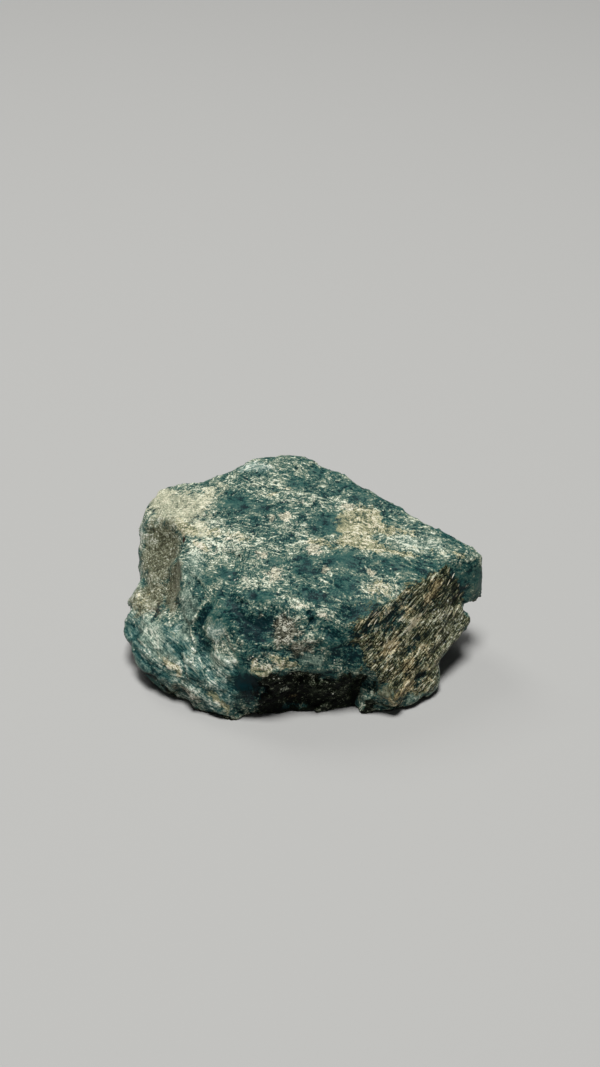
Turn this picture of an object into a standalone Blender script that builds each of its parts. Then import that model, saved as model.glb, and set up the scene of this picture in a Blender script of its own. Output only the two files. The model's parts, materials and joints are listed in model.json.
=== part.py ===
"""Rough broken lump of massive apatite, resting on its flat base.

One solid in metres, +Z up, the front towards -Y. The corner tables are in millimetres in the stone's
own working frame; the finished stone is scaled so that its width is STONE_WIDTH and is moved so that
the middle of its base is the origin.
"""

import math

import bmesh
import bpy
from mathutils import Matrix, Vector, noise

NODE_NAME = "apatite_crystal"
MATERIAL_NAME = "apatite"

MM = 0.001

# Driving sizes of the finished stone, in millimetres.
STONE_WIDTH = 66.0
SKIN_GRID = 0.6
ROUNDING_PASSES = 3
ROUNDING_STRENGTH = 0.5
SOFTENING_PASSES = 1
SKIN_TRIANGLES = 11600

# The underside is broken off flat at this height; the slab cuts everything below it.
BASE_HEIGHT = 0.0
BASE_SLAB_DEPTH = 12.0
BASE_SLAB_REACH = 120.0

# Finish of the stone: dark teal, waxy, not metallic.
STONE_COLOUR = (0.075, 0.155, 0.150, 1.0)
STONE_ROUGHNESS = 0.42
STONE_METALLIC = 0.0
SHARP_ANGLE = 28.0

# Relief on the broken faces, in millimetres.
BROAD_WAVELENGTH = 13.0
BROAD_HEIGHT = 0.6
BROAD_SHIFT = Vector((3.7, 1.3, 0.0))
CHIP_SIZE = 5.2
CHIP_TILT = 0.15
CHIP_STEP = 0.28
CHIP_TILT_SEED = 17.0
CHIP_STEP_SEED = 31.0
FINE_WAVELENGTH = 2.6
FINE_HEIGHT = 0.3

# Fibres on the right front: the direction they run in, the face they are on, and how far the zone
# reaches (from none to all, by how squarely a face looks that way and by place).
FIBRE_DIRECTION = Vector((0.62, 0.64, 0.45)).normalized()
FIBRE_FACE = Vector((0.47, -0.76, 0.44)).normalized()
FIBRE_SPACING = 2.2
FIBRE_LENGTH = 11.0
FIBRE_HEIGHT = 0.45
FIBRE_FACING = (0.75, 0.92)
FIBRE_FROM_X = (5.0, 9.0)
FIBRE_CALM = 0.8

# Faint bands along the top, and the smooth face at the left.
BAND_DIRECTION = Vector((0.97, -0.24, -0.05)).normalized()
BAND_SPACING = 4.2
BAND_LENGTH = 24.0
BAND_HEIGHT = 0.3
TOP_FACING = (0.85, 0.97)
TOP_CALM = 0.75
SMOOTH_FACE = Vector((-0.78, -0.35, 0.5)).normalized()
SMOOTH_FACING = (0.7, 0.9)
SMOOTH_FROM_Z = (9.0, 12.0)
SMOOTH_CALM = 0.85

# Streaks down the lump at the left front.
STREAK_DIRECTION = Vector((0.68, -0.71, -0.14)).normalized()
STREAK_FACE = Vector((-0.5, -0.6, 0.6)).normalized()
STREAK_HEIGHT = 0.4
STREAK_FACING = (0.6, 0.85)
STREAK_FROM_X = (-9.0, -13.0)
STREAK_BELOW_Z = (12.5, 10.5)

# Corners shared by neighbouring blocks.
PALE_CORNER = (-27.5, 19.4, 21.3)
PALE_EDGE = (-28.5, 14.8, 20.4)
REAR_NOTCH = (-16.5, 19.3, 24.0)
LEFT_RIM_REAR = (-22.6, 5.9, 20.9)
LEFT_RIM_MIDDLE = (-19.3, 2.0, 20.9)
LEFT_RIM_FRONT = (-21.2, -1.6, 19.6)
LEFT_CORNER = (-21.7, -4.7, 18.0)
CREASE_TOP = (-21.2, -6.6, 13.6)
CREASE_UPPER = (-18.4, -13.4, 11.0)
CREASE_LOWER = (-14.3, -18.7, 7.5)
CREASE_FOOT = (-11.6, -20.4, 3.6)
RIDGE_LEFT_END = (8.7, -16.1, 17.5)
RIDGE_MIDDLE = (16.1, -10.9, 19.7)
RIDGE_RIGHT_END = (24.2, -4.9, 20.3)
RIGHT_SHOULDER = (25.9, 2.0, 22.5)
RIGHT_TIP_REAR = (30.5, 0.3, 21.4)
RIGHT_TIP = (31.9, -0.9, 20.3)
OVERHANG_LEFT = (8.0, -19.1, 9.0)
OVERHANG_RIGHT = (11.4, -18.9, 9.5)
FOOT_TIP = (-10.9, -21.1, 0.2)

# The large block: a gently tilted top, a sloping front and a steep back.
BODY_CORNERS = (
    REAR_NOTCH,
    (-8.5, 21.3, 26.3),
    (-1.1, 21.5, 27.0),
    (6.0, 16.5, 26.3),
    (13.8, 10.2, 25.0),
    (20.4, 5.7, 23.7),
    RIGHT_SHOULDER,
    RIGHT_TIP_REAR,
    RIDGE_RIGHT_END,
    RIDGE_MIDDLE,
    RIDGE_LEFT_END,
    (0.1, -15.3, 19.0),
    (-7.1, -12.5, 19.5),
    (-16.8, -9.0, 17.6),
    LEFT_CORNER,
    LEFT_RIM_FRONT,
    LEFT_RIM_MIDDLE,
    (-21.9, -6.9, 15.5),
    CREASE_TOP,
    CREASE_UPPER,
    CREASE_LOWER,
    CREASE_FOOT,
    (-9.1, -17.6, 15.5),
    (-0.7, -17.3, 16.0),
    (4.3, -17.9, 13.5),
    (7.7, -16.8, 13.5),
    (-10.8, -20.3, 9.5),
    (-7.1, -20.6, 11.0),
    (-2.4, -20.0, 12.3),
    (1.8, -19.6, 11.0),
    (5.2, -19.4, 9.0),
    (-11.5, -18.4, -4.0),
    (8.5, -17.0, -4.0),
    (-19.0, -9.0, -4.0),
    (-22.0, 6.0, -4.0),
    (-19.0, 15.0, -4.0),
    (-7.0, 19.0, -4.0),
    (9.0, 15.0, -4.0),
    (20.0, 5.0, -4.0),
    (22.0, -8.0, -4.0),
    (-5.0, 23.6, 14.0),
    (8.5, 18.4, 13.0),
    (20.0, 9.0, 12.0),
    (-18.0, 20.5, 11.0),
)

# Pale block at the upper left with the smooth left face below its rim.
PALE_BLOCK_CORNERS = (
    PALE_CORNER,
    PALE_EDGE,
    REAR_NOTCH,
    (-30.2, 14.2, 19.0),
    (-27.9, 10.0, 19.5),
    LEFT_RIM_REAR,
    LEFT_RIM_MIDDLE,
    LEFT_RIM_FRONT,
    LEFT_CORNER,
    (-21.9, -6.9, 15.5),
    (-31.1, 11.8, 16.0),
    (-31.0, 9.6, 13.0),
    (-29.4, 5.5, 10.5),
    (-26.0, -2.0, 10.5),
    (-29.6, 12.0, 6.0),
    (-27.0, 17.0, 6.0),
    (-26.0, 11.0, -4.0),
    (-22.0, 16.0, -4.0),
    (-14.0, 20.0, 4.0),
    (-12.0, -4.0, 6.0),
    (-12.0, 8.0, 20.0),
)

# Low block at the left.
LEFT_BLOCK_CORNERS = (
    (-29.9, 6.2, 10.0),
    (-31.2, -0.3, 9.2),
    (-32.2, -2.2, 7.8),
    (-31.6, -7.0, 5.8),
    (-27.4, -6.3, 9.8),
    (-26.0, -3.6, 11.6),
    (-30.2, 0.6, 10.9),
    (-22.0, -3.0, 12.0),
    (-28.5, -9.0, 2.0),
    (-29.0, 2.0, -4.0),
    (-27.0, -8.0, -4.0),
    (-27.0, 11.0, -3.0),
    (-12.0, 6.0, -4.0),
    (-15.0, -8.0, -4.0),
)

# Diagonal lump running from the left block down to the front foot.
LUMP_CORNERS = (
    (-31.4, -7.3, 6.0),
    (-29.8, -11.2, 3.6),
    (-28.0, -7.0, 9.6),
    (-25.5, -4.6, 11.8),
    CREASE_TOP,
    (-18.9, -13.6, 10.4),
    (-14.6, -18.9, 7.0),
    CREASE_FOOT,
    (-27.0, -9.6, 8.7),
    (-24.0, -13.7, 7.9),
    (-27.3, -13.4, 4.6),
    (-24.7, -14.3, 5.4),
    (-21.4, -17.1, 3.4),
    (-18.0, -18.8, 1.8),
    (-13.9, -20.8, 0.4),
    FOOT_TIP,
    (-28.2, -12.0, 1.4),
    (-25.8, -12.6, -2.0),
    (-20.5, -16.2, -2.0),
    (-14.0, -19.3, -3.0),
    (-12.0, -10.0, -4.0),
    (-24.0, -4.0, -4.0),
)

# Fibrous right front above, and the right foot below it.
FIBROUS_CORNERS = (
    RIDGE_RIGHT_END,
    RIDGE_MIDDLE,
    RIDGE_LEFT_END,
    (7.8, -17.0, 14.0),
    (26.0, -3.4, 18.5),
    (28.2, -3.2, 13.0),
    (29.2, -4.8, 9.2),
    (27.8, -5.9, 7.4),
    (24.8, -9.0, 6.4),
    (23.6, -10.8, 5.4),
    OVERHANG_RIGHT,
    OVERHANG_LEFT,
    (19.0, -15.6, 6.0),
    (9.0, -12.0, 2.0),
    (24.0, -2.0, 0.0),
    (8.0, -8.0, 16.0),
    (22.0, 2.0, 18.0),
)
RIGHT_FOOT_CORNERS = (
    OVERHANG_RIGHT,
    (23.4, -11.2, 5.6),
    (23.7, -12.2, 4.0),
    (22.4, -14.3, 2.5),
    (20.4, -16.7, 1.2),
    (17.2, -18.2, 0.8),
    (12.4, -19.2, 0.8),
    (9.4, -19.9, 0.4),
    (19.5, -14.8, 7.5),
    (14.0, -18.4, 5.5),
    (10.0, -18.8, -3.0),
    (17.0, -17.0, -4.0),
    (21.0, -13.0, -4.0),
    (21.0, -4.0, -4.0),
    (8.0, -8.0, -4.0),
    (8.0, -8.0, 8.0),
)

# Overhanging block at the right tip.
TIP_CORNERS = (
    RIGHT_SHOULDER,
    RIGHT_TIP_REAR,
    RIGHT_TIP,
    (28.6, -1.7, 20.4),
    (26.4, -3.6, 18.4),
    (28.2, -3.3, 13.0),
    (29.9, -3.0, 10.6),
    (32.6, -0.6, 10.2),
    (28.0, 4.5, 9.0),
    (22.0, 7.0, 10.0),
    (20.0, 0.0, 18.0),
)

BLOCKS = (
    ("body", BODY_CORNERS),
    ("pale_block", PALE_BLOCK_CORNERS),
    ("left_block", LEFT_BLOCK_CORNERS),
    ("lump", LUMP_CORNERS),
    ("fibrous_block", FIBROUS_CORNERS),
    ("right_foot", RIGHT_FOOT_CORNERS),
    ("tip_block", TIP_CORNERS),
)

# Rounded pieces and hollows: name, centre, half sizes, turn about Z in degrees.
PEBBLES = (("foot_pebble", (14.6, -18.2, 3.2), (2.2, 2.0, 2.0), 0.0),)
HOLLOWS = (
    ("left_hollow", (-32.9, 3.0, 21.5), (11.5, 8.5, 9.5), 0.0),
    ("left_valley", (-29.3, -3.2, 17.2), (7.5, 7.5, 6.5), 0.0),
    ("front_arch", (-0.5, -28.6, 2.6), (13.0, 10.6, 8.2), 0.0),
    ("foot_cavity", (9.6, -20.5, 5.0), (2.6, 3.0, 2.7), 0.0),
    ("shell_hollow", (-17.6, -16.3, 11.2), (2.8, 2.4, 2.8), -35.0),
    ("left_crack", (-25.8, -5.6, 12.0), (0.9, 2.6, 2.2), -22.0),
)
BALL_SEGMENTS = 32
BALL_RINGS = 16


def remove_everything():
    """Clear the scene so that only the stone is left at the end."""
    for thing in list(bpy.data.objects):
        bpy.data.objects.remove(thing, do_unlink=True)


def helper_object(name, shape):
    """Return a helper holding the shape, kept out of the picture."""
    mesh = bpy.data.meshes.new(name)
    shape.to_mesh(mesh)
    shape.free()
    thing = bpy.data.objects.new(name, mesh)
    bpy.context.scene.collection.objects.link(thing)
    thing.hide_render = True
    thing.display_type = "WIRE"
    return thing


def block(name, corners):
    """Return the convex block spanned by its corners."""
    shape = bmesh.new()
    for corner in corners:
        shape.verts.new(Vector(corner) * MM)
    made = bmesh.ops.convex_hull(shape, input=shape.verts[:])
    inside = [
        item
        for item in set(made["geom_interior"]) | set(made["geom_unused"])
        if isinstance(item, bmesh.types.BMVert)
    ]
    bmesh.ops.delete(shape, geom=inside, context="VERTS")
    bmesh.ops.recalc_face_normals(shape, faces=shape.faces[:])
    return helper_object(name, shape)


def ball(name, centre, half_sizes, turn):
    """Return an egg-shaped piece or hollow."""
    shape = bmesh.new()
    bmesh.ops.create_uvsphere(
        shape, u_segments=BALL_SEGMENTS, v_segments=BALL_RINGS, radius=MM
    )
    stretch = Matrix.Diagonal((*half_sizes, 1.0))
    turned = Matrix.Rotation(math.radians(turn), 4, "Z")
    shape.transform(Matrix.Translation(Vector(centre) * MM) @ turned @ stretch)
    return helper_object(name, shape)


def add_boolean(stone, helper, operation):
    """Join a helper to the stone or cut it away."""
    step = stone.modifiers.new(helper.name, "BOOLEAN")
    step.operation = operation
    step.solver = "EXACT"
    step.object = helper


def settle(stone):
    """Replace the stone's mesh by the result of its modifiers."""
    graph = bpy.context.evaluated_depsgraph_get()
    graph.update()
    mesh = bpy.data.meshes.new_from_object(stone.evaluated_get(graph))
    stone.modifiers.clear()
    stone.data = mesh


def ramp(value, limits):
    """Return 0 at the first limit, 1 at the second and a smooth passage between."""
    start, end = limits
    share = min(max((value - start) / (end - start), 0.0), 1.0)
    return share * share * (3.0 - 2.0 * share)


def chipped(place):
    """Return the height of flat tilted chips, in millimetres."""
    cell = place / CHIP_SIZE
    centre = noise.voronoi(cell)[1][0]
    tilt = noise.cell_vector(centre * CHIP_TILT_SEED) - Vector((0.5, 0.5, 0.5))
    step = noise.cell(centre * CHIP_STEP_SEED) * CHIP_STEP
    return tilt.dot(cell - centre) * 2.0 * CHIP_TILT * CHIP_SIZE + step


def stretched(place, along, spacing, length):
    """Return ridged noise drawn out along one direction."""
    lengthwise = place.dot(along)
    across = place - along * lengthwise
    return 1.0 - 2.0 * abs(noise.noise(across / spacing + along * (lengthwise / length)))


def relief(place, normal):
    """Return how far the skin stands out at a place, in millimetres."""
    fibrous = ramp(normal.dot(FIBRE_FACE), FIBRE_FACING) * ramp(place.x, FIBRE_FROM_X)
    streaked = ramp(normal.dot(STREAK_FACE), STREAK_FACING) * ramp(place.x, STREAK_FROM_X)
    streaked *= ramp(place.z, STREAK_BELOW_Z)
    smooth = ramp(normal.dot(SMOOTH_FACE), SMOOTH_FACING) * ramp(place.z, SMOOTH_FROM_Z)
    level = ramp(normal.z, TOP_FACING)
    calm = max(TOP_CALM * level, FIBRE_CALM * fibrous, SMOOTH_CALM * smooth)

    height = BROAD_HEIGHT * noise.noise(place / BROAD_WAVELENGTH + BROAD_SHIFT)
    height += FINE_HEIGHT * noise.noise(place / FINE_WAVELENGTH)
    height += (1.0 - calm) * chipped(place)
    bands = stretched(place, BAND_DIRECTION, BAND_SPACING, BAND_LENGTH)
    height += level * BAND_HEIGHT * bands
    fibres = stretched(place, FIBRE_DIRECTION, FIBRE_SPACING, FIBRE_LENGTH)
    height += fibrous * FIBRE_HEIGHT * fibres
    streaks = stretched(place, STREAK_DIRECTION, FIBRE_SPACING, FIBRE_LENGTH)
    height += streaked * STREAK_HEIGHT * streaks
    return height


def roughen(mesh):
    """Push every point of the skin along its normal by the relief."""
    moves = [
        vertex.normal * relief(vertex.co / MM, vertex.normal) * MM
        for vertex in mesh.vertices
    ]
    for vertex, move in zip(mesh.vertices, moves):
        vertex.co += move


def dress(mesh):
    """Give the stone its one finish and shade it with crisp chipped edges."""
    finish = bpy.data.materials.new(MATERIAL_NAME)
    finish.use_nodes = True
    shader = finish.node_tree.nodes["Principled BSDF"]
    shader.inputs["Base Color"].default_value = STONE_COLOUR
    shader.inputs["Roughness"].default_value = STONE_ROUGHNESS
    shader.inputs["Metallic"].default_value = STONE_METALLIC
    finish.diffuse_color = STONE_COLOUR
    mesh.materials.clear()
    mesh.materials.append(finish)
    mesh.shade_smooth()
    mesh.set_sharp_from_angle(angle=math.radians(SHARP_ANGLE))


def centre_on_base(stone):
    """Scale the stone to its width and put the middle of its base at the origin."""
    corners = [vertex.co for vertex in stone.data.vertices]
    low = Vector([min(corner[axis] for corner in corners) for axis in range(3)])
    high = Vector([max(corner[axis] for corner in corners) for axis in range(3)])
    middle = Vector(((low.x + high.x) / 2, (low.y + high.y) / 2, low.z))
    size = STONE_WIDTH * MM / (high.x - low.x)
    stone.data.transform(Matrix.Scale(size, 4) @ Matrix.Translation(-middle))


def join_blocks():
    """Return the stone with its edges still sharp, joined and hollowed from its helpers."""
    helpers = [block(name, corners) for name, corners in BLOCKS]
    pebbles = [ball(*entry) for entry in PEBBLES]
    hollows = [ball(*entry) for entry in HOLLOWS]
    stone = bpy.data.objects.new(NODE_NAME, helpers[0].data.copy())
    bpy.context.scene.collection.objects.link(stone)
    for helper in helpers[1:] + pebbles:
        add_boolean(stone, helper, "UNION")
    for helper in hollows:
        add_boolean(stone, helper, "DIFFERENCE")
    settle(stone)
    for helper in helpers + pebbles + hollows:
        bpy.data.objects.remove(helper, do_unlink=True)
    return stone


def add_smoothing(stone, name, passes):
    """Round the stone's edges a little."""
    step = stone.modifiers.new(name, "SMOOTH")
    step.factor = ROUNDING_STRENGTH
    step.iterations = passes


def weather(stone):
    """Cover the stone in an even skin, round it, roughen it and thin the skin out."""
    skin = stone.modifiers.new("skin", "REMESH")
    skin.mode = "VOXEL"
    skin.voxel_size = SKIN_GRID * MM
    add_smoothing(stone, "rounding", ROUNDING_PASSES)
    settle(stone)
    roughen(stone.data)
    add_smoothing(stone, "softening", SOFTENING_PASSES)
    settle(stone)
    count = sum(len(face.vertices) - 2 for face in stone.data.polygons)
    thin = stone.modifiers.new("thin", "DECIMATE")
    thin.ratio = SKIN_TRIANGLES / count
    settle(stone)


def cut_base(stone):
    """Break the underside off flat."""
    reach = (-BASE_SLAB_REACH, BASE_SLAB_REACH)
    depth = (BASE_HEIGHT - BASE_SLAB_DEPTH, BASE_HEIGHT)
    slab = block("base_slab", [(x, y, z) for x in reach for y in reach for z in depth])
    add_boolean(stone, slab, "DIFFERENCE")
    settle(stone)
    bpy.data.objects.remove(slab, do_unlink=True)


def main():
    """Build the stone."""
    remove_everything()
    stone = join_blocks()
    weather(stone)
    cut_base(stone)
    centre_on_base(stone)
    dress(stone.data)
    bpy.context.view_layer.update()


main()
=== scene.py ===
"""Fine surface and finish of a rough broken lump of massive teal apatite.

Everything is in metres, +Z up, the front towards -Y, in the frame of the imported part. Sizes that
are easier to read in millimetres say so in their name or docstring and are multiplied by MM.
"""

import json
import logging
import math
from collections.abc import Mapping
from dataclasses import dataclass, field
from enum import Enum
from functools import cached_property, partial, reduce

import bmesh
import bpy
import numpy as np
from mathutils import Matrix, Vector, noise

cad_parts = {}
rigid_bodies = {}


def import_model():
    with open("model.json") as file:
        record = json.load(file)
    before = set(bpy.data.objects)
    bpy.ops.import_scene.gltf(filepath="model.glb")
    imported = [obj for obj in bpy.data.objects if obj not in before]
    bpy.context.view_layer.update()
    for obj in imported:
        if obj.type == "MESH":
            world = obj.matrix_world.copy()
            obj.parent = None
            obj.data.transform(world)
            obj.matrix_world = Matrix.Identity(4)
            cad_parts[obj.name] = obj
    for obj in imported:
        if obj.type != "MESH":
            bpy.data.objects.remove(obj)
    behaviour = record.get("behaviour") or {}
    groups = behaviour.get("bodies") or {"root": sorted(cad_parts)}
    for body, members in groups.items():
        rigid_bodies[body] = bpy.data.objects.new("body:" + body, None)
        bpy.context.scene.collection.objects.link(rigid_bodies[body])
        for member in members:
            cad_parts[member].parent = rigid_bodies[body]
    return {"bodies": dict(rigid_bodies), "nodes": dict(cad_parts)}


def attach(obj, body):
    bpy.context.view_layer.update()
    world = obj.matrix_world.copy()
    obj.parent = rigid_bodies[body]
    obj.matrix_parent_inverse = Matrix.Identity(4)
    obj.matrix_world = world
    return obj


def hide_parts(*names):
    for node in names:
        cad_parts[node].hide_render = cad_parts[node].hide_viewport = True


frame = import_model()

LOG = logging.getLogger("apatite")

MM = 0.001
NODE = "apatite_crystal"
BODY = "root"

# Point attributes that the surface trees store for the finishes.
CREST = "crest"
SHADE = "shade"

Pair = tuple[float, float]
Triple = tuple[float, float, float]
Socket = bpy.types.NodeSocket


def unit(*parts: float) -> Vector:
    """Return the direction with these parts, of length one."""
    return Vector(parts).normalized()


# Directions that the stone's own structure follows.
FIBRE_ALONG = unit(0.62, 0.64, 0.45)
BAND_ALONG = unit(0.97, -0.24, -0.05)
STREAK_ALONG = unit(0.68, -0.71, -0.14)
SHELL_ALONG = unit(-0.2, 0.35, 0.9)
FRONT_DOWN = unit(0.1, -0.5, -0.86)
FACE_DOWN = unit(0.1, -0.8, -0.5)
RIM_ALONG = unit(0.75, -0.65, -0.05)
VEIN_ALONG = unit(0.85, 0.5, 0.1)
BROW_ALONG = unit(0.8, 0.6, 0.1)
EDGE_ALONG = unit(0.8, -0.6, -0.1)
FOOT_ALONG = unit(0.65, -0.38, -0.65)
UPRIGHT = unit(0.0, 0.0, 1.0)

# Axes and face directions for the zones.
ACROSS = (1.0, 0.0, 0.0)
UP = (0.0, 0.0, 1.0)
TOP = (0.0, -0.2, 0.98)
LUMP_SIDE = (-0.45, -0.65, 0.6)
FIBROUS_FACE = (0.47, -0.76, 0.30)


class Mark(Enum):
    """Kinds of marking on the stone; each value is the name of a point attribute of the skin."""

    FROST = "mark_frost"
    CLEAR = "mark_clear"
    NAVY = "mark_navy"
    CREAM = "mark_cream"
    BLOB = "mark_blob"
    TAN = "mark_tan"
    SAGE = "mark_sage"
    MILK = "mark_milk"
    UMBER = "mark_umber"
    GREY = "mark_grey"
    FIBRE = "mark_fibre"
    BAND = "mark_band"
    STREAK = "mark_streak"
    # Painted shade on the undercut and the underside.
    RIND = "mark_rind"
    PIT = "mark_pit"
    CHALK = "mark_chalk"
    WINDOW = "mark_window"
    PALE_LINE = "mark_pale_line"
    CRACK = "mark_crack"
    RAISED = "mark_raised"
    SUNKEN = "mark_sunken"


Shares = tuple[tuple[Mark, float], ...]


@dataclass(frozen=True)
class Patch:
    """One marking on the stone: a soft-edged egg-shaped region of a kind.

    Centre and half sizes are in millimetres. The long half size lies along the given direction.
    """

    mark: Mark
    centre: Triple
    long: float
    wide: float
    along: Vector
    strength: float = 1.0
    softness: float = 0.6


def patches(mark: Mark, along: Vector, *rows: tuple[float, ...]) -> tuple[Patch, ...]:
    """Return patches of a kind, from rows of centre, half sizes and at times the rest."""
    return tuple(Patch(mark, row[:3], row[3], row[4], along, *row[5:]) for row in rows)


@dataclass(frozen=True)
class Seam:
    """A thin line on the stone through points in millimetres, fading over its width."""

    mark: Mark
    points: tuple[Triple, ...]
    width: float
    strength: float = 1.0


@dataclass(frozen=True)
class Zone:
    """A region whose structure runs one way: where the skin faces a direction inside a box.

    Each limit is a direction with the distances along it, in millimetres, where the zone begins
    and where it is whole.
    """

    mark: Mark
    facing: Triple
    squarely: Pair
    limits: tuple[tuple[Triple, float, float], ...] = ()
    strength: float = 1.0


# ---------------------------------------------------------------------------------------------
# Node trees
# ---------------------------------------------------------------------------------------------


@dataclass
class Wiring:
    """Adds nodes to one node tree and links them up."""

    tree: bpy.types.NodeTree
    marks: dict[Mark, Socket] = field(init=False, default_factory=dict)

    def stored(self, name: str) -> Socket:
        """Return the number stored on the points under a name."""
        raise NotImplementedError

    def mark(self, mark: Mark) -> Socket:
        """Return how strong a marking is, from one node for each kind.

        Args:
            mark: The kind.

        Returns:
            The marking's number.
        """
        if mark not in self.marks:
            self.marks[mark] = self.stored(mark.value)
        return self.marks[mark]

    def marked(self, start: object, shares: Shares) -> Socket:
        """Return a number with each marking's share added where the marking is."""
        return self.total(start, *(self.times(self.mark(mark), share) for mark, share in shares))

    def add(
        self, kind: str, inputs: Mapping | None = None, **settings: object
    ) -> bpy.types.Node:
        """Add a node.

        Args:
            kind: The node's type name.
            inputs: Values or sockets for its inputs, by name or index.
            **settings: Properties of the node.

        Returns:
            The new node.
        """
        node = self.tree.nodes.new(kind)
        for name, value in settings.items():
            setattr(node, name, value)
        for name, value in (inputs or {}).items():
            socket = node.inputs[name]
            if isinstance(value, Socket):
                self.tree.links.new(value, socket)
            else:
                socket.default_value = value
        return node

    def calc(self, operation: str, first: object, second: object = 0.0) -> Socket:
        """Return the result of one sum on two numbers."""
        return self.add("ShaderNodeMath", {0: first, 1: second}, operation=operation).outputs[0]

    def total(self, *terms: object) -> Socket:
        """Return the sum of several numbers."""
        return reduce(partial(self.calc, "ADD"), terms)

    def times(self, *terms: object) -> Socket:
        """Return the product of several numbers."""
        return reduce(partial(self.calc, "MULTIPLY"), terms)

    def without(self, share: object) -> Socket:
        """Return what a share leaves of the whole."""
        return self.calc("SUBTRACT", 1.0, share)

    def centred(self, value: object, *weights: object) -> Socket:
        """Return a pattern's number round zero, times its weights."""
        return self.times(self.calc("SUBTRACT", value, 0.5), *weights)

    def step(self, value: object, low: object, high: object) -> Socket:
        """Return a smooth passage from 0 at low to 1 at high.

        Args:
            value: The number.
            low: Where the passage begins.
            high: Where it ends.

        Returns:
            A number from 0 to 1.
        """
        inputs = {0: value, 1: low, 2: high, 3: 0.0, 4: 1.0}
        node = self.add("ShaderNodeMapRange", inputs, interpolation_type="SMOOTHSTEP")
        return node.outputs[0]

    def spread(self, value: object, low: float, high: float) -> Socket:
        """Return a number from 0..1 spread evenly over low..high."""
        return self.add("ShaderNodeMapRange", {0: value, 3: low, 4: high}).outputs[0]

    def blend(self, share: object, first: object, second: object) -> Socket:
        """Return two numbers mixed by a share."""
        inputs = {0: share, 2: first, 3: second}
        return self.add("ShaderNodeMix", inputs, data_type="FLOAT").outputs[0]

    def tint(self, share: object, first: object, second: object) -> Socket:
        """Return two colours mixed by a share."""
        inputs = {0: share, 6: first, 7: second}
        return self.add("ShaderNodeMix", inputs, data_type="RGBA").outputs[2]

    def ramp(self, level: object, tones: tuple[Triple, ...]) -> Socket:
        """Return the colour of each level from 0 to 1 along a row of tones.

        Args:
            level: The number that picks the tone.
            tones: The row, evenly spaced.

        Returns:
            The colour.
        """
        node = self.add("ShaderNodeValToRGB", {0: level})
        stops = node.color_ramp.elements
        while len(stops) < len(tones):
            stops.new(0.5)
        for index, tone in enumerate(tones):
            stops[index].position = index / (len(tones) - 1)
            stops[index].color = (*tone, 1.0)
        return node.outputs[0]

    def vector(
        self, operation: str, first: object, second: object = (0.0, 0.0, 0.0)
    ) -> Socket:
        """Return the vector result of one sum on two vectors."""
        inputs = {0: first, 1: second}
        return self.add("ShaderNodeVectorMath", inputs, operation=operation).outputs[0]

    def scaled(self, vector: object, factor: object) -> Socket:
        """Return a vector times a number."""
        inputs = {0: vector, 3: factor}
        return self.add("ShaderNodeVectorMath", inputs, operation="SCALE").outputs[0]

    def dot(self, first: object, second: object) -> Socket:
        """Return the scalar product of two vectors."""
        inputs = {0: first, 1: second}
        return self.add("ShaderNodeVectorMath", inputs, operation="DOT_PRODUCT").outputs[1]

    def cloud(
        self,
        place: object,
        size: float,
        detail: float = 3.0,
        roughness: float = 0.55,
        distortion: float = 0.0,
    ) -> bpy.types.Node:
        """Add cloudy noise.

        Args:
            place: Position in millimetres.
            size: Size of its largest clouds, in millimetres.
            detail: Number of finer layers.
            roughness: Weight of the finer layers.
            distortion: How far the clouds are drawn out of shape.

        Returns:
            The noise node: output 0 is a number round 0.5, output 1 a colour.
        """
        inputs = {
            "Vector": place,
            "Scale": 1.0 / size,
            "Detail": detail,
            "Roughness": roughness,
            "Distortion": distortion,
        }
        return self.add("ShaderNodeTexNoise", inputs)

    def cells(self, place: object, scale: object) -> bpy.types.Node:
        """Add a cell pattern: distance, the cell's own colour and its middle."""
        return self.add("ShaderNodeTexVoronoi", {"Vector": place, "Scale": scale})

    def bent(self, place: object, size: float, reach: float, detail: float = 2.0) -> Socket:
        """Return a position that wanders, in millimetres.

        Args:
            place: The position.
            size: Size of the noise's clouds.
            reach: How far the position may move.
            detail: Number of finer layers.

        Returns:
            The wandered position.
        """
        wander = self.cloud(place, size, detail).outputs[1]
        centred = self.vector("SUBTRACT", wander, (0.5, 0.5, 0.5))
        return self.vector("ADD", place, self.scaled(centred, 2.0 * reach))

    def drawn(self, place: object, along: object, length: float, width: float) -> Socket:
        """Return a position squeezed so that patterns of size 1 are long along one direction.

        Args:
            place: Position in millimetres.
            along: The long direction, a unit vector or a socket that gives one.
            length: Size of the pattern along it, in millimetres.
            width: Size of the pattern across it, in millimetres.

        Returns:
            The squeezed position.
        """
        way = along if isinstance(along, Socket) else tuple(along)
        share = self.times(self.dot(place, way), 1.0 / length - 1.0 / width)
        return self.vector("ADD", self.scaled(place, 1.0 / width), self.scaled(way, share))

    def strokes(
        self, place: object, along: object, size: Pair, detail: float = 2.0, rough: float = 0.6
    ) -> Socket:
        """Return strokes of a length and width in millimetres along one direction."""
        return self.cloud(self.drawn(place, along, *size), 1.0, detail, rough).outputs[0]

    def woven(self, place: object, patch: float, size: Pair, stray: float) -> Socket:
        """Return short strokes that run another way in each small patch.

        Args:
            place: Position in millimetres.
            patch: Size of the patches, in millimetres.
            size: Length and width of the strokes, in millimetres.
            stray: How far the ways differ from the stone's banding.

        Returns:
            A number round 0.5.
        """
        own = self.cells(place, 1.0 / patch).outputs[1]
        lean = self.scaled(self.vector("SUBTRACT", own, (0.5, 0.5, 0.5)), 2.0 * stray)
        way = self.vector("NORMALIZE", self.vector("ADD", lean, tuple(BAND_ALONG)))
        return self.strokes(place, way, size)


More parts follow.
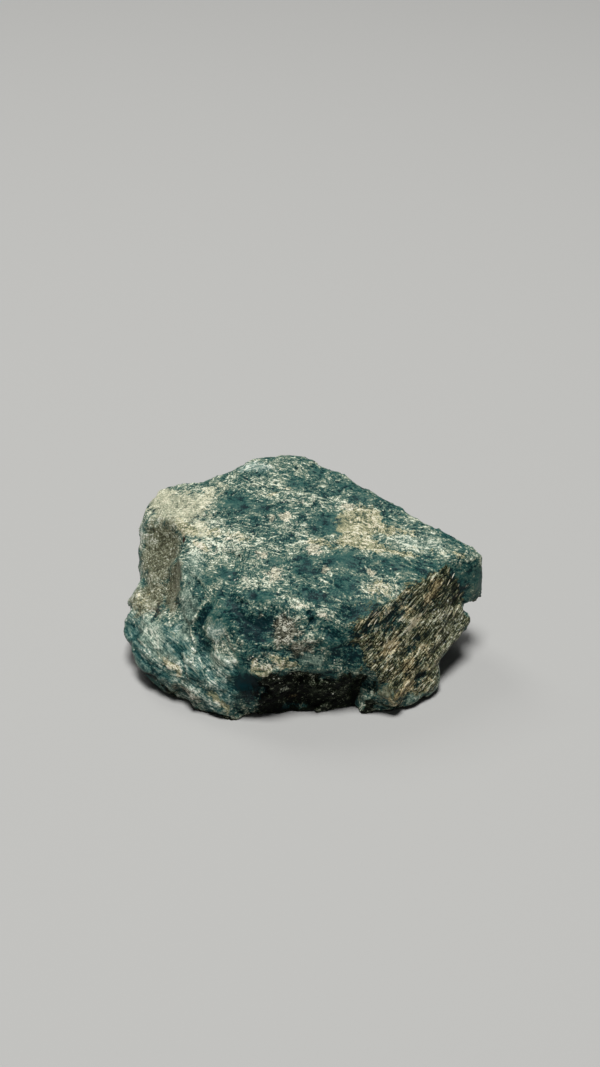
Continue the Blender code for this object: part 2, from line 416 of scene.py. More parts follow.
@dataclass
class ShapeTree(Wiring):
    """A Geometry Nodes tree with named inputs."""

    tree: bpy.types.NodeTree = None
    name: str = "shape"
    source: bpy.types.Node = field(init=False)

    def __post_init__(self) -> None:
        """Make the empty tree with its geometry input and output."""
        self.tree = bpy.data.node_groups.new(self.name, "GeometryNodeTree")
        for way in ("INPUT", "OUTPUT"):
            self.tree.interface.new_socket(
                "Geometry", in_out=way, socket_type="NodeSocketGeometry"
            )
        self.source = self.tree.nodes.new("NodeGroupInput")

    def ask(self, name: str, kind: str = "Float") -> Socket:
        """Add a named input.

        Args:
            name: The input's name.
            kind: What it takes, such as Float or Material.

        Returns:
            Its socket inside the tree.
        """
        socket_type = "NodeSocket" + kind
        self.tree.interface.new_socket(name, in_out="INPUT", socket_type=socket_type)
        return self.source.outputs[name]

    def stored(self, name: str) -> Socket:
        """Return the number stored on the points under a name."""
        inputs = {0: name}
        return self.add("GeometryNodeInputNamedAttribute", inputs, data_type="FLOAT").outputs[0]

    def here(self) -> Socket:
        """Return the position in metres."""
        return self.add("GeometryNodeInputPosition").outputs[0]

    def place(self) -> Socket:
        """Return the position in millimetres."""
        return self.scaled(self.here(), 1.0 / MM)

    def store(self, geometry: Socket, name: str, value: Socket) -> Socket:
        """Return the geometry with a number kept on its points under a name.

        Args:
            geometry: What the number is kept on.
            name: The name.
            value: The number.

        Returns:
            The geometry.
        """
        node = self.add(
            "GeometryNodeStoreNamedAttribute",
            {0: geometry, 2: name},
            data_type="FLOAT",
            domain="POINT",
        )
        self.tree.links.new(value, next(item for item in node.inputs if item.type == "VALUE"))
        return node.outputs[0]

    def end(self, geometry: Socket, material: Socket) -> None:
        """Finish the tree: realize what is placed, dress it and hand it out.

        Args:
            geometry: What the tree has made.
            material: Its finish.
        """
        real = self.add("GeometryNodeRealizeInstances", {0: geometry})
        dressed = self.add("GeometryNodeSetMaterial", {0: real.outputs[0], 2: material})
        self.add("NodeGroupOutput", {0: dressed.outputs[0]})

    def run(self, thing: bpy.types.Object, values: Mapping[str, object]) -> bpy.types.Mesh:
        """Run the tree on an object as a modifier that is taken off again.

        Args:
            thing: The object whose mesh goes in.
            values: The named inputs.

        Returns:
            The resulting mesh.
        """
        step = thing.modifiers.new(self.name, "NODES")
        step.node_group = self.tree
        for item in self.tree.interface.items_tree:
            if item.item_type == "SOCKET" and item.in_out == "INPUT" and item.name in values:
                step[item.identifier] = values[item.name]
        mesh = plain_mesh(thing)
        thing.modifiers.remove(step)
        return mesh


def plain_mesh(thing: bpy.types.Object) -> bpy.types.Mesh:
    """Return a new mesh with all that an object's modifiers make of it.

    Args:
        thing: The object.

    Returns:
        The mesh.
    """
    graph = bpy.context.evaluated_depsgraph_get()
    graph.update()
    return bpy.data.meshes.new_from_object(thing.evaluated_get(graph))


@dataclass
class FinishTree(Wiring):
    """The nodes of one new material."""

    tree: bpy.types.NodeTree = None
    name: str = "finish"
    material: bpy.types.Material = field(init=False)

    def __post_init__(self) -> None:
        """Make the empty material."""
        self.material = bpy.data.materials.new(self.name)
        self.material.use_nodes = True
        self.tree = self.material.node_tree
        self.tree.nodes.clear()

    @cached_property
    def place(self) -> Socket:
        """Return the position in millimetres."""
        return self.scaled(self.add("ShaderNodeTexCoord").outputs["Object"], 1.0 / MM)

    def stored(self, name: str) -> Socket:
        """Return the number stored on the points under a name."""
        return self.add("ShaderNodeAttribute", attribute_name=name).outputs["Fac"]

    def end(self, inputs: Mapping[str, object]) -> bpy.types.Material:
        """Finish the material with its shader.

        Args:
            inputs: Values or sockets for the shader's inputs, by name.

        Returns:
            The finished material.
        """
        shader = self.add("ShaderNodeBsdfPrincipled", inputs)
        self.add("ShaderNodeOutputMaterial", {0: shader.outputs[0]})
        return self.material


# ---------------------------------------------------------------------------------------------
# Finishes
# ---------------------------------------------------------------------------------------------


@dataclass(frozen=True)
class Mineral:
    """One mineral of the stone: its colours from the darkest to the palest grains.

    The first mineral lies everywhere and has no marking. The others lie where their marking is,
    with an edge that follows the grain.
    """

    tones: tuple[Triple, ...]
    mark: Mark | None = None
    lift: float = 0.0
    strength: float = 1.0
    ragged: float = 1.0
    edge: Pair = (0.40, 0.60)
    drawn: float = 0.0


@dataclass(frozen=True)
class Cloud:
    """A cloudy pattern: size in millimetres, finer layers, their weight, weight in the level."""

    size: float
    detail: float
    roughness: float
    weight: float


@dataclass(frozen=True)
class Weave:
    """Strokes that run another way in each patch, with their wander; sizes in millimetres."""

    bend: Pair
    patch: float
    size: Pair
    stray: float
    weight: float


@dataclass(frozen=True)
class Flow:
    """Strokes of a length and width in millimetres that lie along one direction in one zone."""

    mark: Mark
    along: Vector
    size: Pair
    weight: float


TEAL = Mineral(
    (
        (0.002, 0.018, 0.022), (0.017, 0.075, 0.069), (0.046, 0.118, 0.097), (0.115, 0.172, 0.132),
        (0.255, 0.295, 0.215), (0.53, 0.565, 0.43), (0.8, 0.85, 0.7),
    ),
)
CREAM = Mineral(
    (
        (0.024, 0.06, 0.048), (0.085, 0.115, 0.072), (0.205, 0.22, 0.13), (0.34, 0.34, 0.205),
        (0.48, 0.46, 0.3), (0.66, 0.625, 0.45), (0.82, 0.785, 0.63),
    ),
    Mark.CREAM,
    lift=0.04,
    edge=(0.34, 0.72),
)
BLUSH = Mineral(
    (
        (0.07, 0.095, 0.075), (0.175, 0.19, 0.14), (0.315, 0.315, 0.23), (0.45, 0.435, 0.32),
        (0.59, 0.565, 0.425), (0.73, 0.7, 0.55), (0.85, 0.825, 0.69),
    ),
    Mark.BLOB,
    lift=0.08,
    edge=(0.36, 0.68),
)
TAN = Mineral(
    (
        (0.034, 0.028, 0.013), (0.1, 0.083, 0.04), (0.205, 0.17, 0.085), (0.345, 0.285, 0.15),
        (0.5, 0.415, 0.235), (0.67, 0.575, 0.355), (0.82, 0.74, 0.52),
    ),
    Mark.TAN,
    lift=0.1,
    edge=(0.34, 0.72),
)
CHALK = Mineral(
    (
        (0.114, 0.136, 0.096), (0.208, 0.23, 0.163), (0.312, 0.33, 0.235), (0.416, 0.424, 0.3),
        (0.53, 0.528, 0.375), (0.66, 0.65, 0.48), (0.8, 0.785, 0.615),
    ),
    Mark.CHALK,
    lift=0.13,
    strength=0.92,
    edge=(0.25, 0.8),
)
MILKY = Mineral(
    (
        (0.008, 0.044, 0.046), (0.03, 0.095, 0.092), (0.08, 0.165, 0.15), (0.185, 0.285, 0.25),
        (0.37, 0.46, 0.395), (0.62, 0.68, 0.59), (0.85, 0.87, 0.79),
    ),
    Mark.MILK,
    strength=0.85,
    edge=(0.15, 0.85),
)
SAGE = Mineral(
    (
        (0.03, 0.058, 0.048), (0.065, 0.11, 0.09), (0.11, 0.17, 0.138), (0.175, 0.25, 0.2),
        (0.275, 0.355, 0.285), (0.45, 0.52, 0.42), (0.7, 0.74, 0.62),
    ),
    Mark.SAGE,
    lift=0.06,
    strength=0.92,
    ragged=0.9,
    edge=(0.2, 0.8),
)
GREY = Mineral(
    (
        (0.05, 0.05, 0.03), (0.092, 0.094, 0.058), (0.145, 0.148, 0.09), (0.21, 0.215, 0.138),
        (0.285, 0.298, 0.22), (0.41, 0.425, 0.34), (0.62, 0.625, 0.53),
    ),
    Mark.GREY,
    strength=0.94,
    ragged=0.9,
    edge=(0.22, 0.8),
)
UMBER = Mineral(
    (
        (0.014, 0.012, 0.008), (0.038, 0.034, 0.022), (0.075, 0.068, 0.045), (0.13, 0.122, 0.086),
        (0.24, 0.23, 0.175), (0.44, 0.43, 0.345), (0.66, 0.65, 0.56),
    ),
    Mark.UMBER,
    strength=0.85,
    edge=(0.3, 0.85),
)
FIBROUS = Mineral(
    (
        (0.003, 0.006, 0.003), (0.022, 0.027, 0.012), (0.07, 0.075, 0.033), (0.14, 0.144, 0.074),
        (0.25, 0.26, 0.16), (0.43, 0.45, 0.32), (0.72, 0.75, 0.6),
    ),
    Mark.FIBRE,
    ragged=1.3,
    edge=(0.3, 0.65),
    drawn=1.5,
)
GLASS = Mineral(
    (
        (0.002, 0.007, 0.008), (0.004, 0.022, 0.02), (0.012, 0.05, 0.042), (0.042, 0.088, 0.068),
        (0.12, 0.145, 0.1), (0.3, 0.305, 0.22), (0.56, 0.56, 0.45),
    ),
    Mark.WINDOW,
    ragged=-1.0,
    edge=(0.34, 0.74),
)
# Painted shade: near-black tones for the undercut and the underside, which face down, away from
# the lamps.
RIND = Mineral(
    (
        (0.0003, 0.0007, 0.0003), (0.0008, 0.0016, 0.0006), (0.0022, 0.0044, 0.0016),
        (0.007, 0.0115, 0.005), (0.032, 0.042, 0.024), (0.13, 0.145, 0.1), (0.34, 0.36, 0.28),
    ),
    Mark.RIND,
    ragged=0.8,
    edge=(0.25, 0.75),
)
RUST = Mineral(
    (
        (0.01, 0.004, 0.003), (0.022, 0.008, 0.006), (0.04, 0.014, 0.01), (0.07, 0.026, 0.018),
        (0.12, 0.06, 0.045), (0.24, 0.16, 0.12), (0.42, 0.34, 0.28),
    ),
    Mark.PIT,
    ragged=0.5,
)


@dataclass(frozen=True)
class StoneFinish:
    """Massive apatite: clear dark teal under milky veils, with a lace of small white grains.

    One level from dark to pale is worked out for every point. Each mineral has its own row of
    tones for that level.
    """

    name: str = "apatite_stone"
    specular: float = 0.07
    minerals: tuple[Mineral, ...] = (
        TEAL, MILKY, SAGE, CHALK, GREY, UMBER, RIND, FIBROUS, GLASS, CREAM, TAN, BLUSH, RUST,
    )
    level: float = 0.355
    bend: Pair = (3.4, 1.3)
    broad: Cloud = Cloud(9.0, 2.0, 0.55, 0.65)
    middle: Cloud = Cloud(2.8, 4.0, 0.62, 1.0)
    fine: Cloud = Cloud(1.1, 4.0, 0.70, 0.75)
    grain: Cloud = Cloud(0.27, 2.0, 0.70, 0.80)
    narrow: Weave = Weave((1.6, 0.30), 1.6, (2.2, 0.26), 1.3, 1.30)
    wide: Weave = Weave((4.0, 0.5), 3.4, (4.0, 0.60), 0.9, 1.0)
    thread_bend: Pair = (7.0, 2.2)
    thread_size: Pair = (3.6, 0.32)
    thread_weight: float = 1.0
    bright_from: Pair = (-0.58, -0.60)
    bright_weight: float = 2.2
    flows: tuple[Flow, ...] = (
        Flow(Mark.BAND, BAND_ALONG, (4.5, 0.7), 1.1),
        Flow(Mark.STREAK, STREAK_ALONG, (4.5, 0.30), 1.7),
        Flow(Mark.STREAK, STREAK_ALONG, (7.0, 1.2), 0.8),
        Flow(Mark.FIBRE, FIBRE_ALONG, (2.6, 0.20), 3.0),
        Flow(Mark.FIBRE, FIBRE_ALONG, (2.6, 1.2), 1.1),
        # Upright mottling within the painted undercut shade.
        Flow(Mark.RIND, UPRIGHT, (1.2, 1.2), 1.3),
        Flow(Mark.GREY, SHELL_ALONG, (3.4, 0.30), 1.5),
        Flow(Mark.SAGE, SHELL_ALONG, (3.0, 0.28), 1.1),
    )
    lifts: Shares = (
        (Mark.FROST, 0.13),
        (Mark.MILK, 0.30),
        (Mark.CLEAR, -0.21),
        (Mark.NAVY, -0.45),
        (Mark.FIBRE, -0.05),
        (Mark.WINDOW, -0.17),
        # The painted undercut shade, a little darker.
        (Mark.RIND, -0.06),
        (Mark.STREAK, -0.04),
    )
    weights: Shares = (
        (Mark.CLEAR, -0.62),
        (Mark.SAGE, -0.25),
        # Less fine pattern in the painted undercut shade.
        (Mark.RIND, -0.20),
        (Mark.NAVY, -0.15),
        (Mark.MILK, -0.15),
        (Mark.CHALK, -0.10),
        (Mark.GREY, -0.10),
        (Mark.FROST, 0.22),
        (Mark.CREAM, 0.25),
        (Mark.STREAK, -0.45),
        (Mark.FIBRE, -0.45),
    )
    # How much the middle clouds lose in the zones drawn one way.
    calm: Shares = ((Mark.STREAK, 0.4), (Mark.FIBRE, 0.4))
    # How frosted a place is: from the middle clouds, from the marking, and anywhere.
    frost: Triple = (1.6, 0.35, 0.35)
    # Size in millimetres, half width and height of each lace of pale threads.
    laces: tuple[Triple, ...] = ((2.0, 0.034, 0.34), (0.9, 0.050, 0.26))
    # Layers, their weight and the distortion of the laces, and what is left where nothing is
    # frosted, of the width and of the height.
    lace_cloud: Triple = (4.0, 0.66, 0.4)
    lace_bare: Pair = (0.3, 0.1)
    lace_gaps: Pair = (0.38, 0.56)
    lace_left: Pair = (0.35, 1.2)
    # Size in millimetres and rarity of the pale dots: white specks of the stone, partly painted
    # glints.
    speck_glint_cells: tuple[Pair, ...] = ((0.85, 0.74), (0.50, 0.86))
    dot_softness: float = 0.04
    dot_rim: Pair = (0.30, 0.12)
    dot_weight: float = 0.36
    # Crests painted paler, as a painted highlight, and hollows darker, as painted shade.
    crest_limits: Pair = (-0.08, 0.08)
    crest_highlight_and_shade: Pair = (0.24, -0.12)
    line_limits: Pair = (0.55, 0.90)
    line_lift: float = 0.38
    # Painted shade in the cracks.
    crack_limits: Pair = (0.45, 0.80)
    crack_shade: float = -0.55
    line_grain: float = 0.5
    edge_weights: Triple = (1.2, 1.6, 1.3)
    mark_limits: Pair = (0.02, 0.2)
    gloss_limits: Pair = (0.2, 0.7)
    gloss: Pair = (0.34, 0.58)
    gloss_grain: float = 0.3
    bump_weights: tuple[float, ...] = (0.35, 0.35, 0.45, 0.30)
    bump_strength: float = 0.9
    bump_height_mm: float = 0.18
    ior: float = 1.63
    scatter_weight: float = 0.10
    scatter_tint: Triple = (0.6, 1.0, 1.0)
    scatter_mm: float = 0.7

    def build(self) -> bpy.types.Material:
        """Build the material.

        Returns:
            The finished material.
        """
        wires = FinishTree(name=self.name)
        bent = wires.bent(wires.place, *self.bend)
        gently = wires.bent(wires.place, *self.wide.bend, 0.0)
        middle, fine = (self.clouds(wires, bent, kind) for kind in (self.middle, self.fine))
        grain = self.clouds(wires, wires.place, self.grain)
        narrow = wires.bent(wires.place, *self.narrow.bend, 0.0)
        strokes = wires.woven(narrow, self.narrow.patch, self.narrow.size, self.narrow.stray)
        clouded, marked, anywhere = self.frost
        frosted = wires.total(
            wires.centred(middle, clouded), wires.times(wires.mark(Mark.FROST), marked), anywhere
        )
        small = wires.total(
            wires.centred(fine, self.fine.weight),
            wires.centred(grain, self.grain.weight),
            wires.centred(strokes, self.narrow.weight),
            *self.veins(wires, gently, strokes),
            self.lace(wires, bent, grain, frosted),
        )
        calm = [wires.times(wires.mark(mark), share) for mark, share in self.calm]
        plain = reduce(partial(wires.calc, "SUBTRACT"), calm, 1.0)
        level = wires.total(
            self.level,
            wires.centred(self.clouds(wires, wires.place, self.broad), self.broad.weight),
            wires.times(wires.centred(middle, self.middle.weight), plain),
            wires.times(small, wires.marked(1.0, self.weights)),
            # White specks, partly painted glints.
            wires.times(self.specks_and_glints(wires), self.dot_weight),
        )
        level = wires.marked(level, self.lifts)
        laths = {}
        for flow in self.flows:
            lines = wires.strokes(gently, flow.along, flow.size)
            laths.setdefault(flow.mark, lines)
            flowing = wires.times(wires.centred(lines, flow.weight), wires.mark(flow.mark))
            level = wires.total(level, flowing)
        level = self.relieved(wires, level, grain)

        reach = zip((middle, fine, grain), self.edge_weights)
        edge = wires.total(*(wires.centred(cloud, weight) for cloud, weight in reach))
        gloss = wires.blend(wires.step(level, *self.gloss_limits), *self.gloss)
        heights = zip((fine, grain, strokes, level), self.bump_weights)
        height = wires.total(*(wires.times(*pair) for pair in heights))
        bump = {
            "Strength": self.bump_strength,
            "Distance": self.bump_height_mm * MM,
            "Height": height,
        }
        return wires.end(
            {
                "Base Color": self.coloured(wires, level, edge, laths),
                "Roughness": wires.total(gloss, wires.centred(grain, self.gloss_grain)),
                "Normal": wires.add("ShaderNodeBump", bump).outputs[0],
                "IOR": self.ior,
                "Subsurface Weight": self.scatter_weight,
                "Subsurface Radius": self.scatter_tint,
                "Subsurface Scale": self.scatter_mm * MM,
                "Specular IOR Level": self.specular,
            }
        )

    def clouds(self, wires: FinishTree, place: Socket, kind: Cloud) -> Socket:
        """Return a cloudy pattern at a position."""
        return wires.cloud(place, kind.size, kind.detail, kind.roughness).outputs[0]

    def veins(self, wires: FinishTree, gently: Socket, strokes: Socket) -> list[Socket]:
        """Return what threads, bright strokes and wide strokes add to the level.

        Args:
            wires: The material's nodes.
            gently: Position wandered a little.
            strokes: The narrow strokes.

        Returns:
            The three numbers.
        """
        swirled = wires.bent(wires.place, *self.thread_bend, 0.0)
        threads = wires.strokes(swirled, BAND_ALONG, self.thread_size)
        wide = wires.woven(gently, self.wide.patch, self.wide.size, self.wide.stray)
        lines = zip((strokes, threads), self.bright_from)
        bright = wires.total(
            *(wires.calc("MAXIMUM", wires.total(line, start), 0.0) for line, start in lines)
        )
        return [
            wires.centred(threads, self.thread_weight),
            wires.times(bright, self.bright_weight),
            wires.centred(wide, self.wide.weight),
        ]

    def lace(self, wires: FinishTree, bent: Socket, grain: Socket, frosted: Socket) -> Socket:
        """Return the lace of pale threads round the grains.

        Args:
            wires: The material's nodes.
            bent: Wandered position.
            grain: The finest pattern.
            frosted: How frosted each place is.

        Returns:
            What the lace adds to the level.
        """
        threads = []
        thin, faint = self.lace_bare
        for size, width, share in self.laces:
            contour = wires.cloud(bent, size, *self.lace_cloud).outputs[0]
            off = wires.calc("ABSOLUTE", wires.calc("SUBTRACT", contour, 0.5))
            thread = wires.step(off, wires.spread(frosted, thin * width, width), 0.0)
            height = wires.spread(frosted, faint * share, share)
            threads.append(wires.times(thread, height))
        broken = wires.spread(wires.step(grain, *self.lace_gaps), *self.lace_left)
        return wires.times(wires.total(0.0, *threads), broken)

    def specks_and_glints(self, wires: FinishTree) -> Socket:
        """Return small pale dots, in a few cells of each size: white specks, partly painted
        glints.

        Args:
            wires: The material's nodes.

        Returns:
            How strong a dot is at each place.
        """
        spots = []
        for size, rare in self.speck_glint_cells:
            cell = wires.cells(wires.place, 1.0 / size)
            lot = wires.dot(cell.outputs[1], ACROSS)
            chosen = wires.step(lot, rare, rare + self.dot_softness)
            spots.append(wires.times(wires.step(cell.outputs[0], *self.dot_rim), chosen))
        return wires.total(0.0, *spots)

    def relieved(self, wires: FinishTree, level: Socket, grain: Socket) -> Socket:
        """Return the level with crests painted paler as highlight and hollows darker as shade, and
        with pale lines and cracks drawn in, the cracks darkened as painted shade.

        Args:
            wires: The material's nodes.
            level: The level so far.
            grain: The finest pattern, which frays the lines.

        Returns:
            The new level.
        """
        # Painted highlight on the crests and painted shade in the hollows.
        share, start = self.crest_highlight_and_shade
        crest = wires.step(wires.stored(CREST), *self.crest_limits)
        level = wires.total(level, wires.times(crest, share), start)
        thin = wires.centred(grain, self.line_grain)
        line = wires.step(wires.total(wires.mark(Mark.PALE_LINE), thin), *self.line_limits)
        # The cracks darkened as painted shade.
        crack = wires.step(wires.total(wires.mark(Mark.CRACK), thin), *self.crack_limits)
        return wires.total(
            level, wires.times(line, self.line_lift), wires.times(crack, self.crack_shade)
        )

    def coloured(
        self,
        wires: FinishTree,
        level: Socket,
        edge: Socket,
        laths: Mapping[Mark, Socket],
    ) -> Socket:
        """Return the colour of the minerals laid one over another.

        Args:
            wires: The material's nodes.
            level: How dark or pale each place is.
            edge: Pattern that frays the minerals' edges.
            laths: Strokes that draw out the edges in their zone.

        Returns:
            The colour.
        """
        colour = wires.ramp(level, self.minerals[0].tones)
        for mineral in self.minerals[1:]:
            mark = wires.mark(mineral.mark)
            reached = wires.total(mark, wires.times(edge, mineral.ragged))
            if mineral.drawn:
                drawn = wires.centred(laths[mineral.mark], mineral.drawn)
                reached = wires.total(reached, drawn)
            inside = wires.step(mark, *self.mark_limits)
            shown = wires.times(wires.step(reached, *mineral.edge), inside)
            tone = wires.ramp(wires.total(level, mineral.lift), mineral.tones)
            colour = wires.tint(wires.times(shown, mineral.strength), colour, tone)
        return colour


@dataclass(frozen=True)
class GrainFinish:
    """Small angular white and cream grains that stand on the frosted parts."""

    name: str = "apatite_grains"
    dark: Triple = (0.200, 0.240, 0.200)
    pale: Triple = (0.640, 0.640, 0.520)
    cloud_mm: float = 0.4
    shade_weight: float = 0.8
    cloud_weight: float = 0.4
    level: float = -0.1
    gloss: Pair = (0.25, 0.6)
    ior: float = 1.63
    scatter_weight: float = 0.2
    scatter_tint: Triple = (1.0, 1.0, 0.9)
    scatter_mm: float = 0.5

    def build(self) -> bpy.types.Material:
        """Build the material.

        Returns:
            The finished material.
        """
        wires = FinishTree(name=self.name)
        cloudy = wires.cloud(wires.place, self.cloud_mm, 2.0).outputs[0]
        shade = wires.times(wires.stored(SHADE), self.shade_weight)
        share = wires.total(shade, wires.times(cloudy, self.cloud_weight), self.level)
        return wires.end(
            {
                "Base Color": wires.tint(share, (*self.dark, 1.0), (*self.pale, 1.0)),
                "Roughness": wires.spread(cloudy, *self.gloss),
                "IOR": self.ior,
                "Subsurface Weight": self.scatter_weight,
                "Subsurface Radius": self.scatter_tint,
                "Subsurface Scale": self.scatter_mm * MM,
            }
        )


@dataclass(frozen=True)
class BladeFinish:
    """Weathered laths of the fibrous face, from moss and straw to nearly white."""

    name: str = "apatite_blades"
    tones: tuple[Triple, ...] = (
        (0.010, 0.024, 0.022),
        (0.045, 0.052, 0.032),
        (0.120, 0.112, 0.066),
        (0.230, 0.205, 0.125),
        (0.400, 0.360, 0.240),
        (0.620, 0.580, 0.440),
        (0.760, 0.740, 0.640),
    )
    level: float = 0.18
    shade_weight: float = 0.55
    grain_mm: float = 0.35
    grain_weight: float = 0.5
    broad_mm: Pair = (4.0, 1.8)
    broad_weight: float = 1.8
    line_mm: Pair = (1.8, 0.18)
    line_weight: float = 0.9
    bump_strength: float = 0.6
    bump_height_mm: float = 0.08
    gloss: Pair = (0.35, 0.75)
    ior: float = 1.6
    specular: float = 0.3

    def build(self) -> bpy.types.Material:
        """Build the material.

        Returns:
            The finished material.
        """
        wires = FinishTree(name=self.name)
        grain = wires.cloud(wires.place, self.grain_mm, 2.0).outputs[0]
        broad = wires.strokes(wires.place, FIBRE_ALONG, self.broad_mm, detail=3.0)
        lines = wires.strokes(wires.place, FIBRE_ALONG, self.line_mm, rough=0.55)
        level = wires.total(
            wires.times(wires.stored(SHADE), self.shade_weight),
            wires.centred(broad, self.broad_weight),
            wires.centred(lines, self.line_weight),
            wires.centred(grain, self.grain_weight),
            self.level,
        )
        bump = {
            "Strength": self.bump_strength,
            "Distance": self.bump_height_mm * MM,
            "Height": wires.total(grain, lines),
        }
        return wires.end(
            {
                "Base Color": wires.ramp(level, self.tones),
                "Roughness": wires.spread(grain, *self.gloss),
                "IOR": self.ior,
                "Normal": wires.add("ShaderNodeBump", bump).outputs[0],
                "Specular IOR Level": self.specular,
            }
        )


@dataclass(frozen=True)
class FloorFinish:
    """Plain pale matt floor."""

    name: str = "floor"
    colour: Triple = (0.43, 0.43, 0.42)
    roughness: float = 0.85

    def build(self) -> bpy.types.Material:
        """Build the material.

        Returns:
            The finished material.
        """
        wires = FinishTree(name=self.name)
        return wires.end({"Base Color": (*self.colour, 1.0), "Roughness": self.roughness})


# ---------------------------------------------------------------------------------------------
# Markings
# ---------------------------------------------------------------------------------------------

